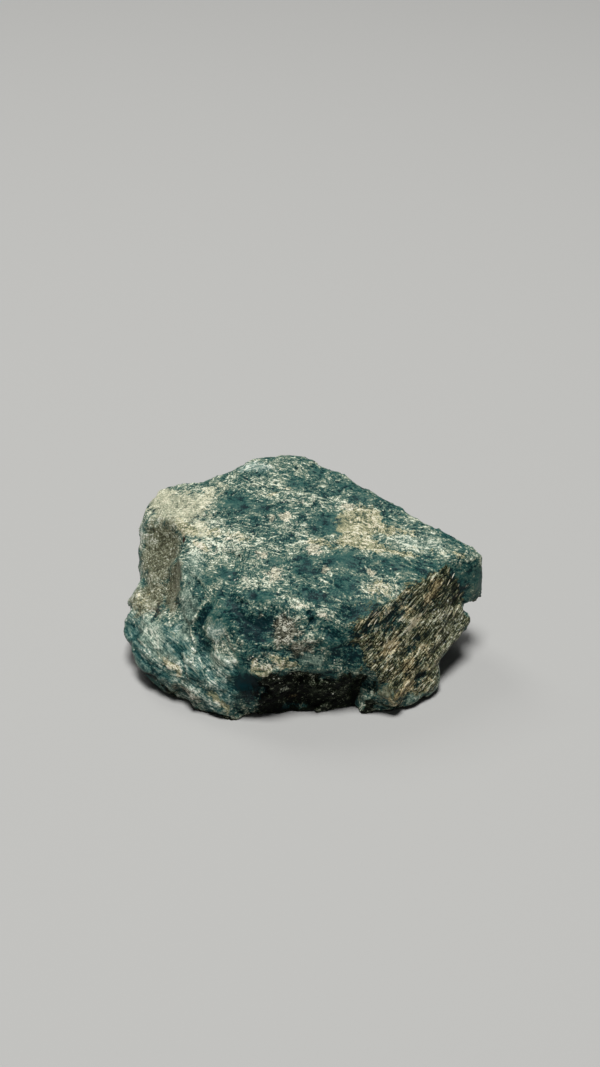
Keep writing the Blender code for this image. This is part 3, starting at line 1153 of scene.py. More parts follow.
PATCHES: tuple[Patch, ...] = (
    # Cream mineral near the middle of the top, with its arms and bands.
    *patches(
        Mark.CREAM,
        BAND_ALONG,
        (10.0, 3.4, 24.5, 3.9, 3.6, 1.15), (10.4, -1.6, 23.4, 4.4, 1.6, 1.15),
        (14.6, 1.6, 23.8, 2.6, 1.3, 0.9), (3.0, -1.4, 23.2, 3.4, 0.9, 0.85),
        (18.6, 1.4, 23.6, 4.5, 0.6, 0.75), (17.8, -3.6, 22.4, 3.6, 0.9, 0.85),
        (22.5, -2.4, 22.6, 3.0, 0.6, 0.7), (27.6, -2.8, 21.8, 1.8, 0.9, 0.8),
        (-11.8, 1.2, 22.6, 2.6, 1.5, 0.6), (-16.6, 3.0, 22.2, 2.0, 1.6, 0.6),
        (13.0, -11.6, 20.9, 2.6, 2.0, 0.62),
    ),
    *patches(Mark.CREAM, VEIN_ALONG, (-4.4, 11.0, 25.6, 2.4, 0.6, 0.75)),
    # Small whitish blobs.
    *patches(
        Mark.BLOB,
        BAND_ALONG,
        (-3.9, 5.2, 24.1, 1.3, 0.8), (-6.4, 5.0, 24.0, 1.2, 0.7, 0.8),
        (-7.4, -3.8, 22.3, 1.1, 1.0), (-5.2, -8.2, 21.6, 1.7, 1.5, 0.85),
        (1.6, -2.8, 22.8, 1.7, 1.2, 0.9), (3.9, -7.1, 21.9, 0.6, 0.6),
        (-13.0, 0.8, 22.4, 1.2, 0.9, 0.8), (8.2, 6.9, 25.4, 1.7, 0.9, 0.75),
        (11.6, -8.2, 21.7, 1.2, 0.8, 0.85), (-7.4, -16.2, 18.6, 0.7, 0.5, 0.8),
        (-0.8, -15.6, 19.8, 1.2, 0.7, 0.6), (3.4, -16.8, 18.8, 0.9, 0.7, 0.6),
        (29.3, -4.6, 16.1, 0.55, 0.55),
    ),
    # Clear dark teal on the top.
    *patches(
        Mark.CLEAR,
        BAND_ALONG,
        (-12.4, 9.1, 24.4, 3.4, 2.1, 1.1), (-7.7, 7.6, 24.4, 1.8, 1.3, 0.9),
        (5.1, 2.7, 24.2, 3.0, 2.6, 1.25), (6.6, -5.4, 22.5, 3.4, 2.1, 1.2),
        (0.1, -6.1, 22.0, 1.7, 2.3), (6.6, -11.4, 21.2, 2.4, 2.9),
        (-7.0, -12.8, 20.4, 2.8, 1.4, 1.15), (15.2, 3.2, 24.3, 1.8, 0.8, 0.8),
        (11.5, 8.6, 25.7, 2.9, 1.2, 0.7), (16.8, -6.6, 22.0, 4.6, 1.3, 0.8),
        (-1.2, 12.8, 26.4, 1.8, 1.6, 0.9), (3.8, 15.6, 26.6, 3.6, 1.3, 0.6),
        (1.3, -12.9, 20.9, 2.4, 1.2, 0.9), (8.4, 11.6, 26.4, 2.4, 1.2, 0.8),
        (-5.0, -5.2, 22.2, 1.1, 1.0, 0.8), (18.4, 6.8, 24.7, 4.6, 1.0, 0.8),
    ),
    *patches(Mark.CLEAR, STREAK_ALONG, (-13.2, -7.6, 20.5, 2.6, 1.3, 1.2)),
    *patches(Mark.CLEAR, EDGE_ALONG, (25.6, 1.6, 23.0, 3.4, 0.9, 0.8)),
    *patches(Mark.CLEAR, BROW_ALONG, (21.4, -6.4, 21.4, 3.0, 1.0, 0.8)),
    # Clear dark teal lower down, with its frosted edges.
    *patches(Mark.CLEAR, BROW_ALONG, (12.0, -14.4, 19.6, 3.4, 1.4, 0.9)),
    *patches(
        Mark.CLEAR,
        BAND_ALONG,
        (-14.6, -13.4, 16.4, 3.4, 3.4, 0.85), (-17.4, -7.0, 18.6, 2.0, 1.8, 0.6),
        (-10.4, -21.4, 8.6, 2.6, 2.2, 1.1), (-9.6, -20.0, 12.6, 2.4, 1.2, 0.5),
        (3.4, -20.8, 11.2, 3.4, 1.4, 0.45),
    ),
    *patches(Mark.CLEAR, UPRIGHT, (30.4, -4.0, 16.2, 3.4, 6.4, 0.85)),
    *patches(Mark.CLEAR, FRONT_DOWN, (4.6, -19.4, 15.6, 3.0, 2.2, 0.55)),
    *patches(
        Mark.FROST,
        FRONT_DOWN,
        (5.6, -20.2, 11.6, 1.5, 1.1, 0.7, 0.4), (6.6, -17.0, 18.2, 1.7, 0.7, 1.2, 0.4),
        (3.4, -19.0, 16.4, 1.3, 0.6, 1.2, 0.4),
    ),
    *patches(Mark.NAVY, FRONT_DOWN, (5.2, -18.2, 17.2, 1.5, 1.0, 0.8)),
    # The darkest places.
    *patches(
        Mark.NAVY,
        BAND_ALONG,
        (-8.4, -17.4, 17.6, 2.9, 2.6, 1.35), (-9.2, -17.9, 16.8, 2.2, 1.7, 1.5),
        (-11.0, -15.2, 18.2, 2.0, 1.6, 0.9), (9.0, -18.0, 17.0, 1.4, 1.8, 0.7),
        (-10.1, -22.4, 7.0, 2.4, 2.6),
    ),
    *patches(
        Mark.NAVY,
        FRONT_DOWN,
        (1.0, -17.4, 18.4, 2.2, 0.8), (4.4, -17.6, 18.0, 1.4, 1.2, 0.7),
        # The third is painted shade in the hollow beside the dome, which is also sunk.
        (-17.2, -15.4, 11.8, 2.0, 1.3, 0.9), (7.4, -14.9, 20.0, 1.6, 1.1, 0.9),
    ),
    *patches(Mark.NAVY, UPRIGHT, (7.0, -19.4, 13.6, 2.0, 2.6, 0.8)),
    # Frosted places on the front.
    *patches(
        Mark.FROST,
        BAND_ALONG,
        (3.6, -19.6, 13.8, 1.6, 1.4, 0.6), (-3.0, -14.4, 20.0, 3.6, 1.6, 1.1),
        (-1.4, -19.4, 15.2, 2.8, 2.4, 0.2), (3.6, -16.6, 18.8, 1.6, 1.6, 0.8),
        (-12.6, -18.2, 12.4, 2.2, 1.0, 0.35),
    ),
    *patches(
        Mark.FROST,
        FRONT_DOWN,
        (-3.2, -17.4, 18.2, 2.8, 2.6, 0.9), (8.3, -13.4, 20.5, 1.1, 0.9, 1.3, 0.4),
    ),
    # Frosted places on the top, and the sage area at its right.
    *patches(
        Mark.FROST,
        BAND_ALONG,
        (-14.0, 0.6, 22.2, 5.5, 3.6, 1.1), (-17.0, 5.0, 22.4, 3.6, 3.0, 0.8),
        (-10.4, -9.6, 20.6, 3.8, 1.4), (-1.6, 9.4, 25.3, 5.4, 1.7, 0.7),
        (-8.0, 13.4, 25.7, 4.4, 1.8, 0.6), (3.4, 8.2, 25.2, 4.4, 1.2, 0.7),
        (-1.0, 2.2, 23.7, 3.6, 1.6, 0.75), (14.6, 7.8, 25.6, 3.2, 0.9, 0.6),
        (1.8, -3.0, 22.8, 3.2, 1.6, 0.8), (-5.6, -2.2, 22.6, 3.0, 2.4, 0.5),
        (13.4, -11.8, 20.9, 3.2, 2.4), (19.6, -0.8, 23.2, 5.6, 2.0, 0.4),
        (24.0, -3.2, 22.2, 3.0, 1.5, 0.25), (-19.4, -0.4, 21.0, 2.6, 1.6, 0.9),
    ),
    *patches(Mark.SAGE, BAND_ALONG, (20.6, -0.4, 23.0, 5.0, 2.4, 0.7, 0.9)),
    # Chalky block at the upper left, and the rear rim and the left edge painted paler as a glow of
    # light through the thin stone.
    *patches(
        Mark.CHALK,
        BAND_ALONG,
        (-22.6, 10.6, 22.2, 6.0, 4.6), (-26.4, 14.2, 21.2, 3.4, 3.2),
        (-17.4, 13.4, 23.8, 3.6, 2.4, 0.6),
    ),
    *patches(Mark.CHALK, RIM_ALONG, (-19.6, 4.4, 21.9, 3.0, 2.0, 0.9)),
    # Painted glow along the thin rear rim.
    *patches(Mark.MILK, BAND_ALONG, (-10.0, 18.0, 26.5, 4.4, 1.2, 0.9)),
    # Painted glow along the left edge.
    *patches(Mark.MILK, UPRIGHT, (-29.8, 9.4, 16.4, 1.8, 3.0, 0.7)),
    # Smooth grey face at the left and what lies below it.
    *patches(
        Mark.UMBER,
        FACE_DOWN,
        (-24.8, -1.0, 14.6, 1.5, 3.2, 0.55), (-23.2, -3.0, 14.8, 3.8, 1.8, 0.6, 0.9),
    ),
    *patches(
        Mark.GREY,
        FACE_DOWN,
        (-26.6, 4.6, 16.4, 6.5, 5.0), (-23.6, -3.4, 14.6, 5.0, 2.8),
        (-22.8, -3.6, 16.4, 4.2, 2.4, 0.9),
    ),
    *patches(Mark.GREY, BAND_ALONG, (-28.8, -2.6, 11.4, 4.0, 3.4, 1.1)),
    *patches(Mark.FROST, BAND_ALONG, (-28.8, -2.4, 11.4, 2.6, 2.2, 0.2)),
    *patches(Mark.TAN, BAND_ALONG, (-28.9, -2.8, 11.3, 2.8, 2.4, 0.24)),
    *patches(Mark.CREAM, BAND_ALONG, (-29.4, -2.8, 11.2, 3.0, 2.6, 0.4, 0.9)),
    *patches(Mark.UMBER, BAND_ALONG, (-26.6, -6.4, 11.2, 1.8, 1.2, 0.7)),
    *patches(
        Mark.SAGE,
        SHELL_ALONG,
        (-20.4, -9.9, 15.2, 4.4, 2.0, 1.1), (-21.0, -12.6, 11.8, 2.6, 1.2, 0.9),
    ),
    *patches(
        Mark.SAGE,
        STREAK_ALONG,
        (-27.2, -10.6, 9.8, 3.6, 2.1, 1.5), (-25.4, -14.2, 8.6, 2.8, 1.2, 1.2),
    ),
    *patches(Mark.MILK, STREAK_ALONG, (-26.6, -11.6, 9.8, 3.8, 1.6, 1.4)),
    *patches(Mark.SAGE, FACE_DOWN, (-19.8, -4.0, 19.4, 3.4, 2.4, 0.7)),
    *patches(Mark.SAGE, BAND_ALONG, (-15.4, -18.0, 10.4, 2.4, 1.6, 0.7)),
    # Milky places, a painted highlight on the dome, and the pale streak along the lump.
    *patches(
        Mark.MILK,
        STREAK_ALONG,
        # The first is a painted highlight on the dome.
        (-14.9, -15.0, 14.4, 2.0, 1.4, 0.75, 0.9), (-14.9, -21.6, 3.4, 3.4, 0.7),
    ),
    *patches(
        Mark.FROST,
        STREAK_ALONG,
        # The first is a painted highlight on the dome.
        (-14.9, -15.0, 14.4, 1.3, 0.8, 0.7), (-22.4, -17.0, 7.4, 5.0, 1.0, 1.1),
    ),
    *patches(Mark.MILK, BAND_ALONG, (-22.2, -11.2, 11.8, 1.0, 0.7, 0.85)),
    *patches(Mark.CREAM, STREAK_ALONG, (-22.4, -17.2, 7.2, 4.8, 0.8)),
    *patches(Mark.CREAM, FOOT_ALONG, (-15.0, -21.6, 3.6, 3.8, 0.8, 0.8)),
    # Pebble-like foot below the fibrous face.
    *patches(Mark.TAN, BAND_ALONG, (15.9, -21.4, 3.6, 2.2, 1.0, 0.6)),
    *patches(Mark.GREY, BAND_ALONG, (14.9, -20.7, 5.1, 2.6, 1.8, 0.8)),
    *patches(Mark.CLEAR, BAND_ALONG, (14.9, -20.7, 5.1, 2.6, 1.8, 0.8)),
    *patches(Mark.FROST, BAND_ALONG, (15.9, -21.4, 4.1, 1.8, 1.0, 0.2)),
    # Fibrous face: its dark windows, its tan patches and the mossy foot.
    *patches(
        Mark.MILK,
        FIBRE_ALONG,
        (22.0, -15.6, 3.0, 3.0, 1.8, 0.25), (23.6, -15.4, 3.4, 2.4, 1.2, 0.5),
    ),
    *patches(
        Mark.WINDOW,
        FIBRE_ALONG,
        (15.4, -14.8, 17.0, 2.8, 1.5, 1.3), (13.2, -14.8, 19.2, 2.4, 0.7, 1.1),
        (17.8, -12.4, 19.4, 2.2, 0.6), (10.4, -17.6, 16.6, 2.0, 0.9),
        (12.6, -16.8, 16.6, 1.6, 0.9, 0.8), (19.2, -15.2, 11.0, 1.8, 1.1, 1.1),
        (20.5, -17.5, 5.4, 1.7, 1.0, 1.2), (21.0, -11.4, 16.6, 2.2, 0.8, 0.6),
        (24.8, -10.6, 12.0, 1.8, 0.7, 0.5), (14.0, -18.4, 10.4, 1.8, 0.6, 0.6),
        (15.0, -14.6, 17.8, 2.6, 1.2, 1.5),
    ),
    *patches(
        Mark.FIBRE,
        FIBRE_ALONG,
        (9.6, -17.4, 18.0, 2.0, 1.6, 0.36), (12.4, -15.0, 19.4, 2.0, 1.6, 0.36),
        (15.4, -13.0, 20.2, 2.0, 1.6, 0.36), (18.6, -11.0, 20.4, 2.0, 1.6, 0.36),
        (21.8, -9.0, 20.2, 1.8, 1.4, 0.36), (17.4, -19.4, 4.8, 3.4, 1.8, 0.9),
    ),
    *patches(
        Mark.UMBER,
        FIBRE_ALONG,
        (12.4, -18.2, 12.0, 3.0, 0.7, 0.9), (16.4, -17.2, 10.4, 2.4, 0.6, 0.8),
        (15.5, -18.2, 9.2, 4.2, 3.0, 0.75), (23.8, -8.4, 18.2, 3.0, 1.4, 0.5),
    ),
    *patches(
        Mark.CREAM,
        FIBRE_ALONG,
        (19.1, -13.6, 14.8, 2.6, 1.4, 1.2), (11.0, -19.2, 13.2, 1.6, 1.6, 0.55),
    ),
    *patches(
        Mark.TAN,
        FIBRE_ALONG,
        (19.1, -13.6, 14.8, 2.6, 1.4, 0.6), (22.6, -9.2, 18.4, 2.8, 1.3, 0.75),
        (14.6, -17.2, 12.2, 2.6, 1.5, 0.7), (18.0, -17.4, 8.4, 2.4, 1.2, 0.65),
        (17.4, -19.4, 4.8, 3.0, 1.4, 0.8),
    ),
    *patches(
        Mark.FROST,
        FIBRE_ALONG,
        (19.1, -13.6, 14.8, 2.2, 1.0, 3.0), (25.3, -11.1, 8.7, 3.0, 2.4, 0.7),
        (24.4, -9.8, 13.8, 3.0, 2.6, 1.1),
    ),
    *patches(Mark.FROST, UPRIGHT, (27.0, -8.6, 11.0, 2.4, 3.4)),
    # Cream rim of the upper left block, with the small pit beside it.
    *patches(
        Mark.CREAM,
        RIM_ALONG,
        (-21.8, 5.2, 21.6, 3.0, 1.3, 1.1), (-18.8, 0.2, 21.2, 2.4, 0.7, 0.9),
    ),
    *patches(Mark.BLOB, RIM_ALONG, (-18.6, -0.4, 21.2, 1.6, 0.5, 0.9)),
    *patches(Mark.PIT, RIM_ALONG, (-21.5, 2.9, 20.6, 1.0, 0.5)),
    # Mottled brown band down the front, and the cream strip on the lower ridge.
    *patches(Mark.UMBER, FRONT_DOWN, (-3.2, -18.2, 17.2, 3.0, 2.6, 0.95)),
    *patches(
        Mark.UMBER,
        BAND_ALONG,
        (-0.6, -19.8, 14.4, 3.0, 1.8, 0.8), (-6.2, -20.8, 13.8, 3.0, 1.0, 0.6),
    ),
    *patches(
        Mark.CREAM,
        BAND_ALONG,
        (-7.8, -22.2, 11.8, 2.6, 1.2, 1.2), (-3.0, -21.2, 12.4, 3.2, 1.0, 1.1),
    ),
    *patches(Mark.TAN, BAND_ALONG, (-5.0, -21.6, 12.3, 3.2, 0.9, 0.4)),
    *patches(Mark.FROST, BAND_ALONG, (-6.0, -21.8, 12.2, 3.8, 1.0, 1.5)),
    # Painted shade low in the undercut.
    *patches(Mark.RIND, BAND_ALONG, (-9.6, -22.4, 6.2, 2.4, 1.8, 0.5)),
    *patches(Mark.SAGE, BAND_ALONG, (1.6, -20.7, 12.2, 2.6, 1.1, 0.9)),
    *patches(
        Mark.BLOB,
        BAND_ALONG,
        (-6.6, -21.9, 12.0, 2.6, 0.8, 0.6), (0.4, -20.2, 13.8, 2.0, 0.8, 0.3),
    ),
    # Grey and olive knots in the dark undercut.
    *patches(
        Mark.FROST,
        BAND_ALONG,
        (-6.2, -21.6, 7.1, 0.9, 0.7, 2.4), (-3.4, -21.0, 6.3, 1.1, 0.9, 2.4),
        (-2.0, -21.2, 9.6, 0.8, 0.6, 2.0), (-7.3, -21.9, 3.1, 1.0, 0.5, 2.2),
        (1.6, -21.2, 8.8, 1.0, 0.5, 1.6), (-4.1, -21.8, 9.2, 1.6, 1.1, 0.8),
        (-7.2, -22.2, 7.0, 1.4, 1.2, 0.6), (-0.6, -20.2, 8.0, 1.2, 1.0, 0.6),
        (6.4, -20.4, 5.0, 2.0, 1.0, 0.6),
    ),
    *patches(Mark.TAN, BAND_ALONG, (-2.4, -19.8, 3.4, 1.2, 0.7, 0.5)),
    *patches(Mark.GREY, BAND_ALONG, (7.9, -19.1, 2.6, 1.8, 1.1, 0.7)),
    # Painted shade in the right part of the undercut.
    *patches(Mark.RIND, BAND_ALONG, (7.4, -20.0, 7.4, 2.2, 1.8)),
    # Green rim at the foot of the fibrous face.
    *patches(Mark.SAGE, UPRIGHT, (22.5, -17.0, 3.2, 2.6, 1.4)),
    *patches(Mark.SAGE, BAND_ALONG, (19.7, -19.1, 2.4, 2.6, 1.2, 0.8)),
    # Lump at the lower left.
    *patches(
        Mark.CLEAR,
        STREAK_ALONG,
        (-22.8, -13.4, 10.4, 3.4, 1.9, 0.55), (-18.6, -18.8, 7.6, 2.4, 1.1),
        (-15.6, -20.8, 4.6, 2.6, 0.9, 0.9), (-28.4, -12.8, 3.4, 3.0, 2.4, 0.9),
    ),
    *patches(Mark.CLEAR, UPRIGHT, (-30.9, -8.6, 7.0, 2.6, 3.0)),
    *patches(Mark.UMBER, STREAK_ALONG, (-20.6, -19.6, 3.6, 4.0, 1.4, 0.9)),
    # Lumps and hollows of the front.
    *patches(
        Mark.RAISED,
        BAND_ALONG,
        (-14.8, -13.8, 16.0, 3.0, 3.0, 0.9, 0.7), (-8.0, -13.2, 20.4, 6.0, 1.0, 0.4, 0.7),
        (-3.4, -21.4, 13.0, 6.0, 0.9, 0.6, 0.7), (14.9, -20.7, 5.1, 1.8, 1.4, 0.7, 0.7),
    ),
    *patches(
        Mark.SUNKEN,
        FRONT_DOWN,
        (-17.3, -15.8, 11.4, 1.8, 1.4, 0.5, 0.9), (1.0, -17.3, 18.5, 2.4, 0.5, 0.8, 0.7),
    ),
    *patches(
        Mark.SUNKEN,
        BAND_ALONG,
        (-8.6, -17.4, 17.4, 3.2, 2.0, 0.8, 0.7), (0.0, -20.8, 9.2, 7.0, 1.6, 0.7, 0.7),
        (11.3, -19.7, 5.8, 1.3, 1.2, 1.0, 0.7),
    ),
    *patches(
        Mark.SUNKEN,
        FIBRE_ALONG,
        (20.5, -17.5, 5.4, 1.3, 0.8, 0.6, 0.7), (15.4, -14.8, 17.0, 2.6, 1.3, 0.4, 0.7),
    ),
)

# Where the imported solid's creases are smoothed away: centres and radii in millimetres.
SETTLED: tuple[tuple[Triple, float], ...] = (
    ((-10.5, -17.0, 16.4), 5.5),
    ((-13.6, -14.0, 17.0), 4.0),
    ((-16.0, -14.8, 13.6), 3.0),
)

SHELL_EDGE = (
    (-17.1, -10.8, 17.2),
    (-18.3, -11.5, 15.5),
    (-19.4, -12.4, 13.5),
    (-19.8, -13.0, 12.2),
    (-19.0, -14.8, 11.2),
)
SHELL_GAP = (
    (-16.8, -11.9, 16.8),
    (-17.6, -12.8, 14.9),
    (-18.4, -13.8, 13.0),
    (-18.2, -15.0, 11.6),
    (-17.4, -16.0, 10.6),
)
LUMP_RIM = (
    (-22.8, -7.9, 13.4),
    (-21.7, -10.1, 12.5),
    (-20.5, -13.7, 11.1),
    (-19.2, -15.7, 10.4),
    (-17.9, -17.5, 9.2),
)
SHOULDER_CRACK = ((-26.3, -4.8, 12.0), (-26.4, -6.7, 11.0), (-27.5, -8.4, 10.8))
TIP_EDGE = ((26.5, -4.6, 20.2), (27.9, -4.9, 16.4), (28.9, -5.0, 13.4))

# Points, width and strength of each white thread on the top.
THREADS = (
    (((-12.6, 7.2, 24.4), (-9.0, 4.8, 24.0), (-5.4, 2.6, 23.8)), 0.6, 0.85),
    (((2.5, -9.4, 21.5), (4.9, -11.2, 21.3), (7.1, -13.4, 20.7)), 0.5, 1.1),
    (((3.2, -12.3, 21.1), (5.4, -14.2, 20.5), (7.6, -14.6, 20.1)), 0.5, 1.1),
    (((4.6, -8.2, 21.9), (5.2, -10.4, 21.4), (5.0, -12.8, 20.9)), 0.5, 1.0),
    (((12.0, -3.6, 22.8), (18.0, -1.6, 23.0), (24.0, -1.6, 22.8)), 0.6, 0.7),
    (((13.0, 4.6, 24.9), (17.4, 2.6, 24.2), (22.0, 1.6, 23.5)), 0.6, 0.75),
    (((-6.0, -1.7, 22.6), (-0.6, -0.8, 23.0), (5.6, 0.1, 23.5)), 0.5, 1.1),
    (((-7.5, 3.8, 23.7), (-3.3, 2.4, 23.6), (1.2, -0.1, 23.2)), 0.5, 0.9),
)

SEAMS: tuple[Seam, ...] = (
    # Edge of the shell-like chip beside the dome, and the gap behind it, sunk and painted dark as
    # its shadow.
    Seam(Mark.PALE_LINE, SHELL_EDGE, 0.62, 0.95),
    Seam(Mark.RAISED, SHELL_EDGE, 1.0, 0.45),
    Seam(Mark.SUNKEN, SHELL_GAP, 1.4, 0.55),
    # Painted shadow in the gap behind the shell edge.
    Seam(Mark.NAVY, SHELL_GAP, 1.5, 0.75),
    # The crack is sunk and darkened with painted shade.
    Seam(Mark.CRACK, SHOULDER_CRACK, 0.7),
    Seam(Mark.PALE_LINE, LUMP_RIM, 0.6, 0.9),
    Seam(Mark.PALE_LINE, TIP_EDGE, 0.7, 0.8),
    *(Seam(Mark.PALE_LINE, *thread) for thread in THREADS),
)

# Edges of the fibrous face, and of the side of the lump.
FACE_LEFT = (ACROSS, 7.6, 9.6)
FACE_FOOT = ((0.55, 0.0, 1.0), 13.2, 14.8)
FACE_RIGHT = ((1.0, 0.0, 0.42), 35.0, 33.6)
FACE_TAN_RIGHT = ((1.0, 0.0, 0.42), 31.0, 26.0)
LUMP_LIMITS = ((ACROSS, -9.0, -13.0), (UP, 12.5, 10.5))
TOP_HEIGHT = (UP, 19.0, 20.5)
SQUARE_TO_FACE = (0.74, 0.90)
SQUARE_TO_TOP = (0.85, 0.95)

ZONES: tuple[Zone, ...] = (
    *(
        Zone(mark, FIBROUS_FACE, SQUARE_TO_FACE, (FACE_LEFT, right, FACE_FOOT), strength)
        for mark, right, strength in (
            (Mark.FIBRE, FACE_RIGHT, 1.0),
            (Mark.WINDOW, FACE_RIGHT, 0.28),
            (Mark.CREAM, FACE_RIGHT, 0.30),
            (Mark.TAN, FACE_TAN_RIGHT, 0.30),
        )
    ),
    Zone(Mark.MILK, LUMP_SIDE, (0.45, 0.8), LUMP_LIMITS, 0.6),
    Zone(Mark.STREAK, LUMP_SIDE, (0.55, 0.8), LUMP_LIMITS),
    Zone(Mark.BAND, TOP, SQUARE_TO_TOP, (TOP_HEIGHT,), 0.35),
    Zone(Mark.BAND, TOP, SQUARE_TO_TOP, (TOP_HEIGHT, (ACROSS, 10.0, 16.0))),
    Zone(
        Mark.NAVY,
        (0.0, -0.85, 0.52),
        (0.70, 0.92),
        ((ACROSS, -18.0, -12.0), (ACROSS, 11.0, 8.0)),
        0.22,
    ),
    # Painted shade on the undercut, which faces down towards the floor.
    Zone(
        Mark.RIND,
        (0.0, -0.85, -0.5),
        (0.40, 0.80),
        ((ACROSS, -10.0, -6.5), (ACROSS, 14.5, 11.0), ((0.2, 0.0, 1.0), 12.0, 8.0)),
    ),
    # Painted shade on the underside.
    Zone(Mark.RIND, (0.0, 0.0, -1.0), (0.1, 0.6)),
)


# ---------------------------------------------------------------------------------------------
# Pieces
# ---------------------------------------------------------------------------------------------


def smooth_step(value: np.ndarray, low: float, high: float) -> np.ndarray:
    """Return a smooth passage from 0 at low to 1 at high for each value."""
    share = np.clip((value - low) / (high - low), 0.0, 1.0)
    return share * share * (3.0 - 2.0 * share)


def read_points(mesh: bpy.types.Mesh, what: str = "co") -> np.ndarray:
    """Read three numbers for each point of a mesh.

    Args:
        mesh: The mesh.
        what: co for the places, normal for the normals.

    Returns:
        One row for each point.
    """
    values = np.zeros(len(mesh.vertices) * 3)
    mesh.vertices.foreach_get(what, values)
    return values.reshape(-1, 3)


def put_in_scene(name: str, data: bpy.types.ID) -> bpy.types.Object:
    """Put a new object in the scene.

    Args:
        name: The object's name.
        data: Its mesh, light or camera.

    Returns:
        The object.
    """
    thing = bpy.data.objects.new(name, data)
    bpy.context.scene.collection.objects.link(thing)
    return thing


@dataclass
class Piece:
    """A finished piece of the part."""

    name: str
    thing: bpy.types.Object = field(init=False, default=None)

    def place(self, mesh: bpy.types.Mesh) -> bpy.types.Object:
        """Put a mesh in the scene as this piece.

        Args:
            mesh: The mesh, already in its place.

        Returns:
            The piece's object, at the origin.
        """
        mesh.name = self.name
        self.thing = put_in_scene(self.name, mesh)
        return self.thing

    def hand_over(self) -> None:
        """Let the piece ride on the stone's body."""
        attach(self.thing, BODY)

    def report(self) -> None:
        """Log the piece's size."""
        mesh = self.thing.data
        mesh.calc_loop_triangles()
        LOG.info("%s: %d triangles", self.name, len(mesh.loop_triangles))


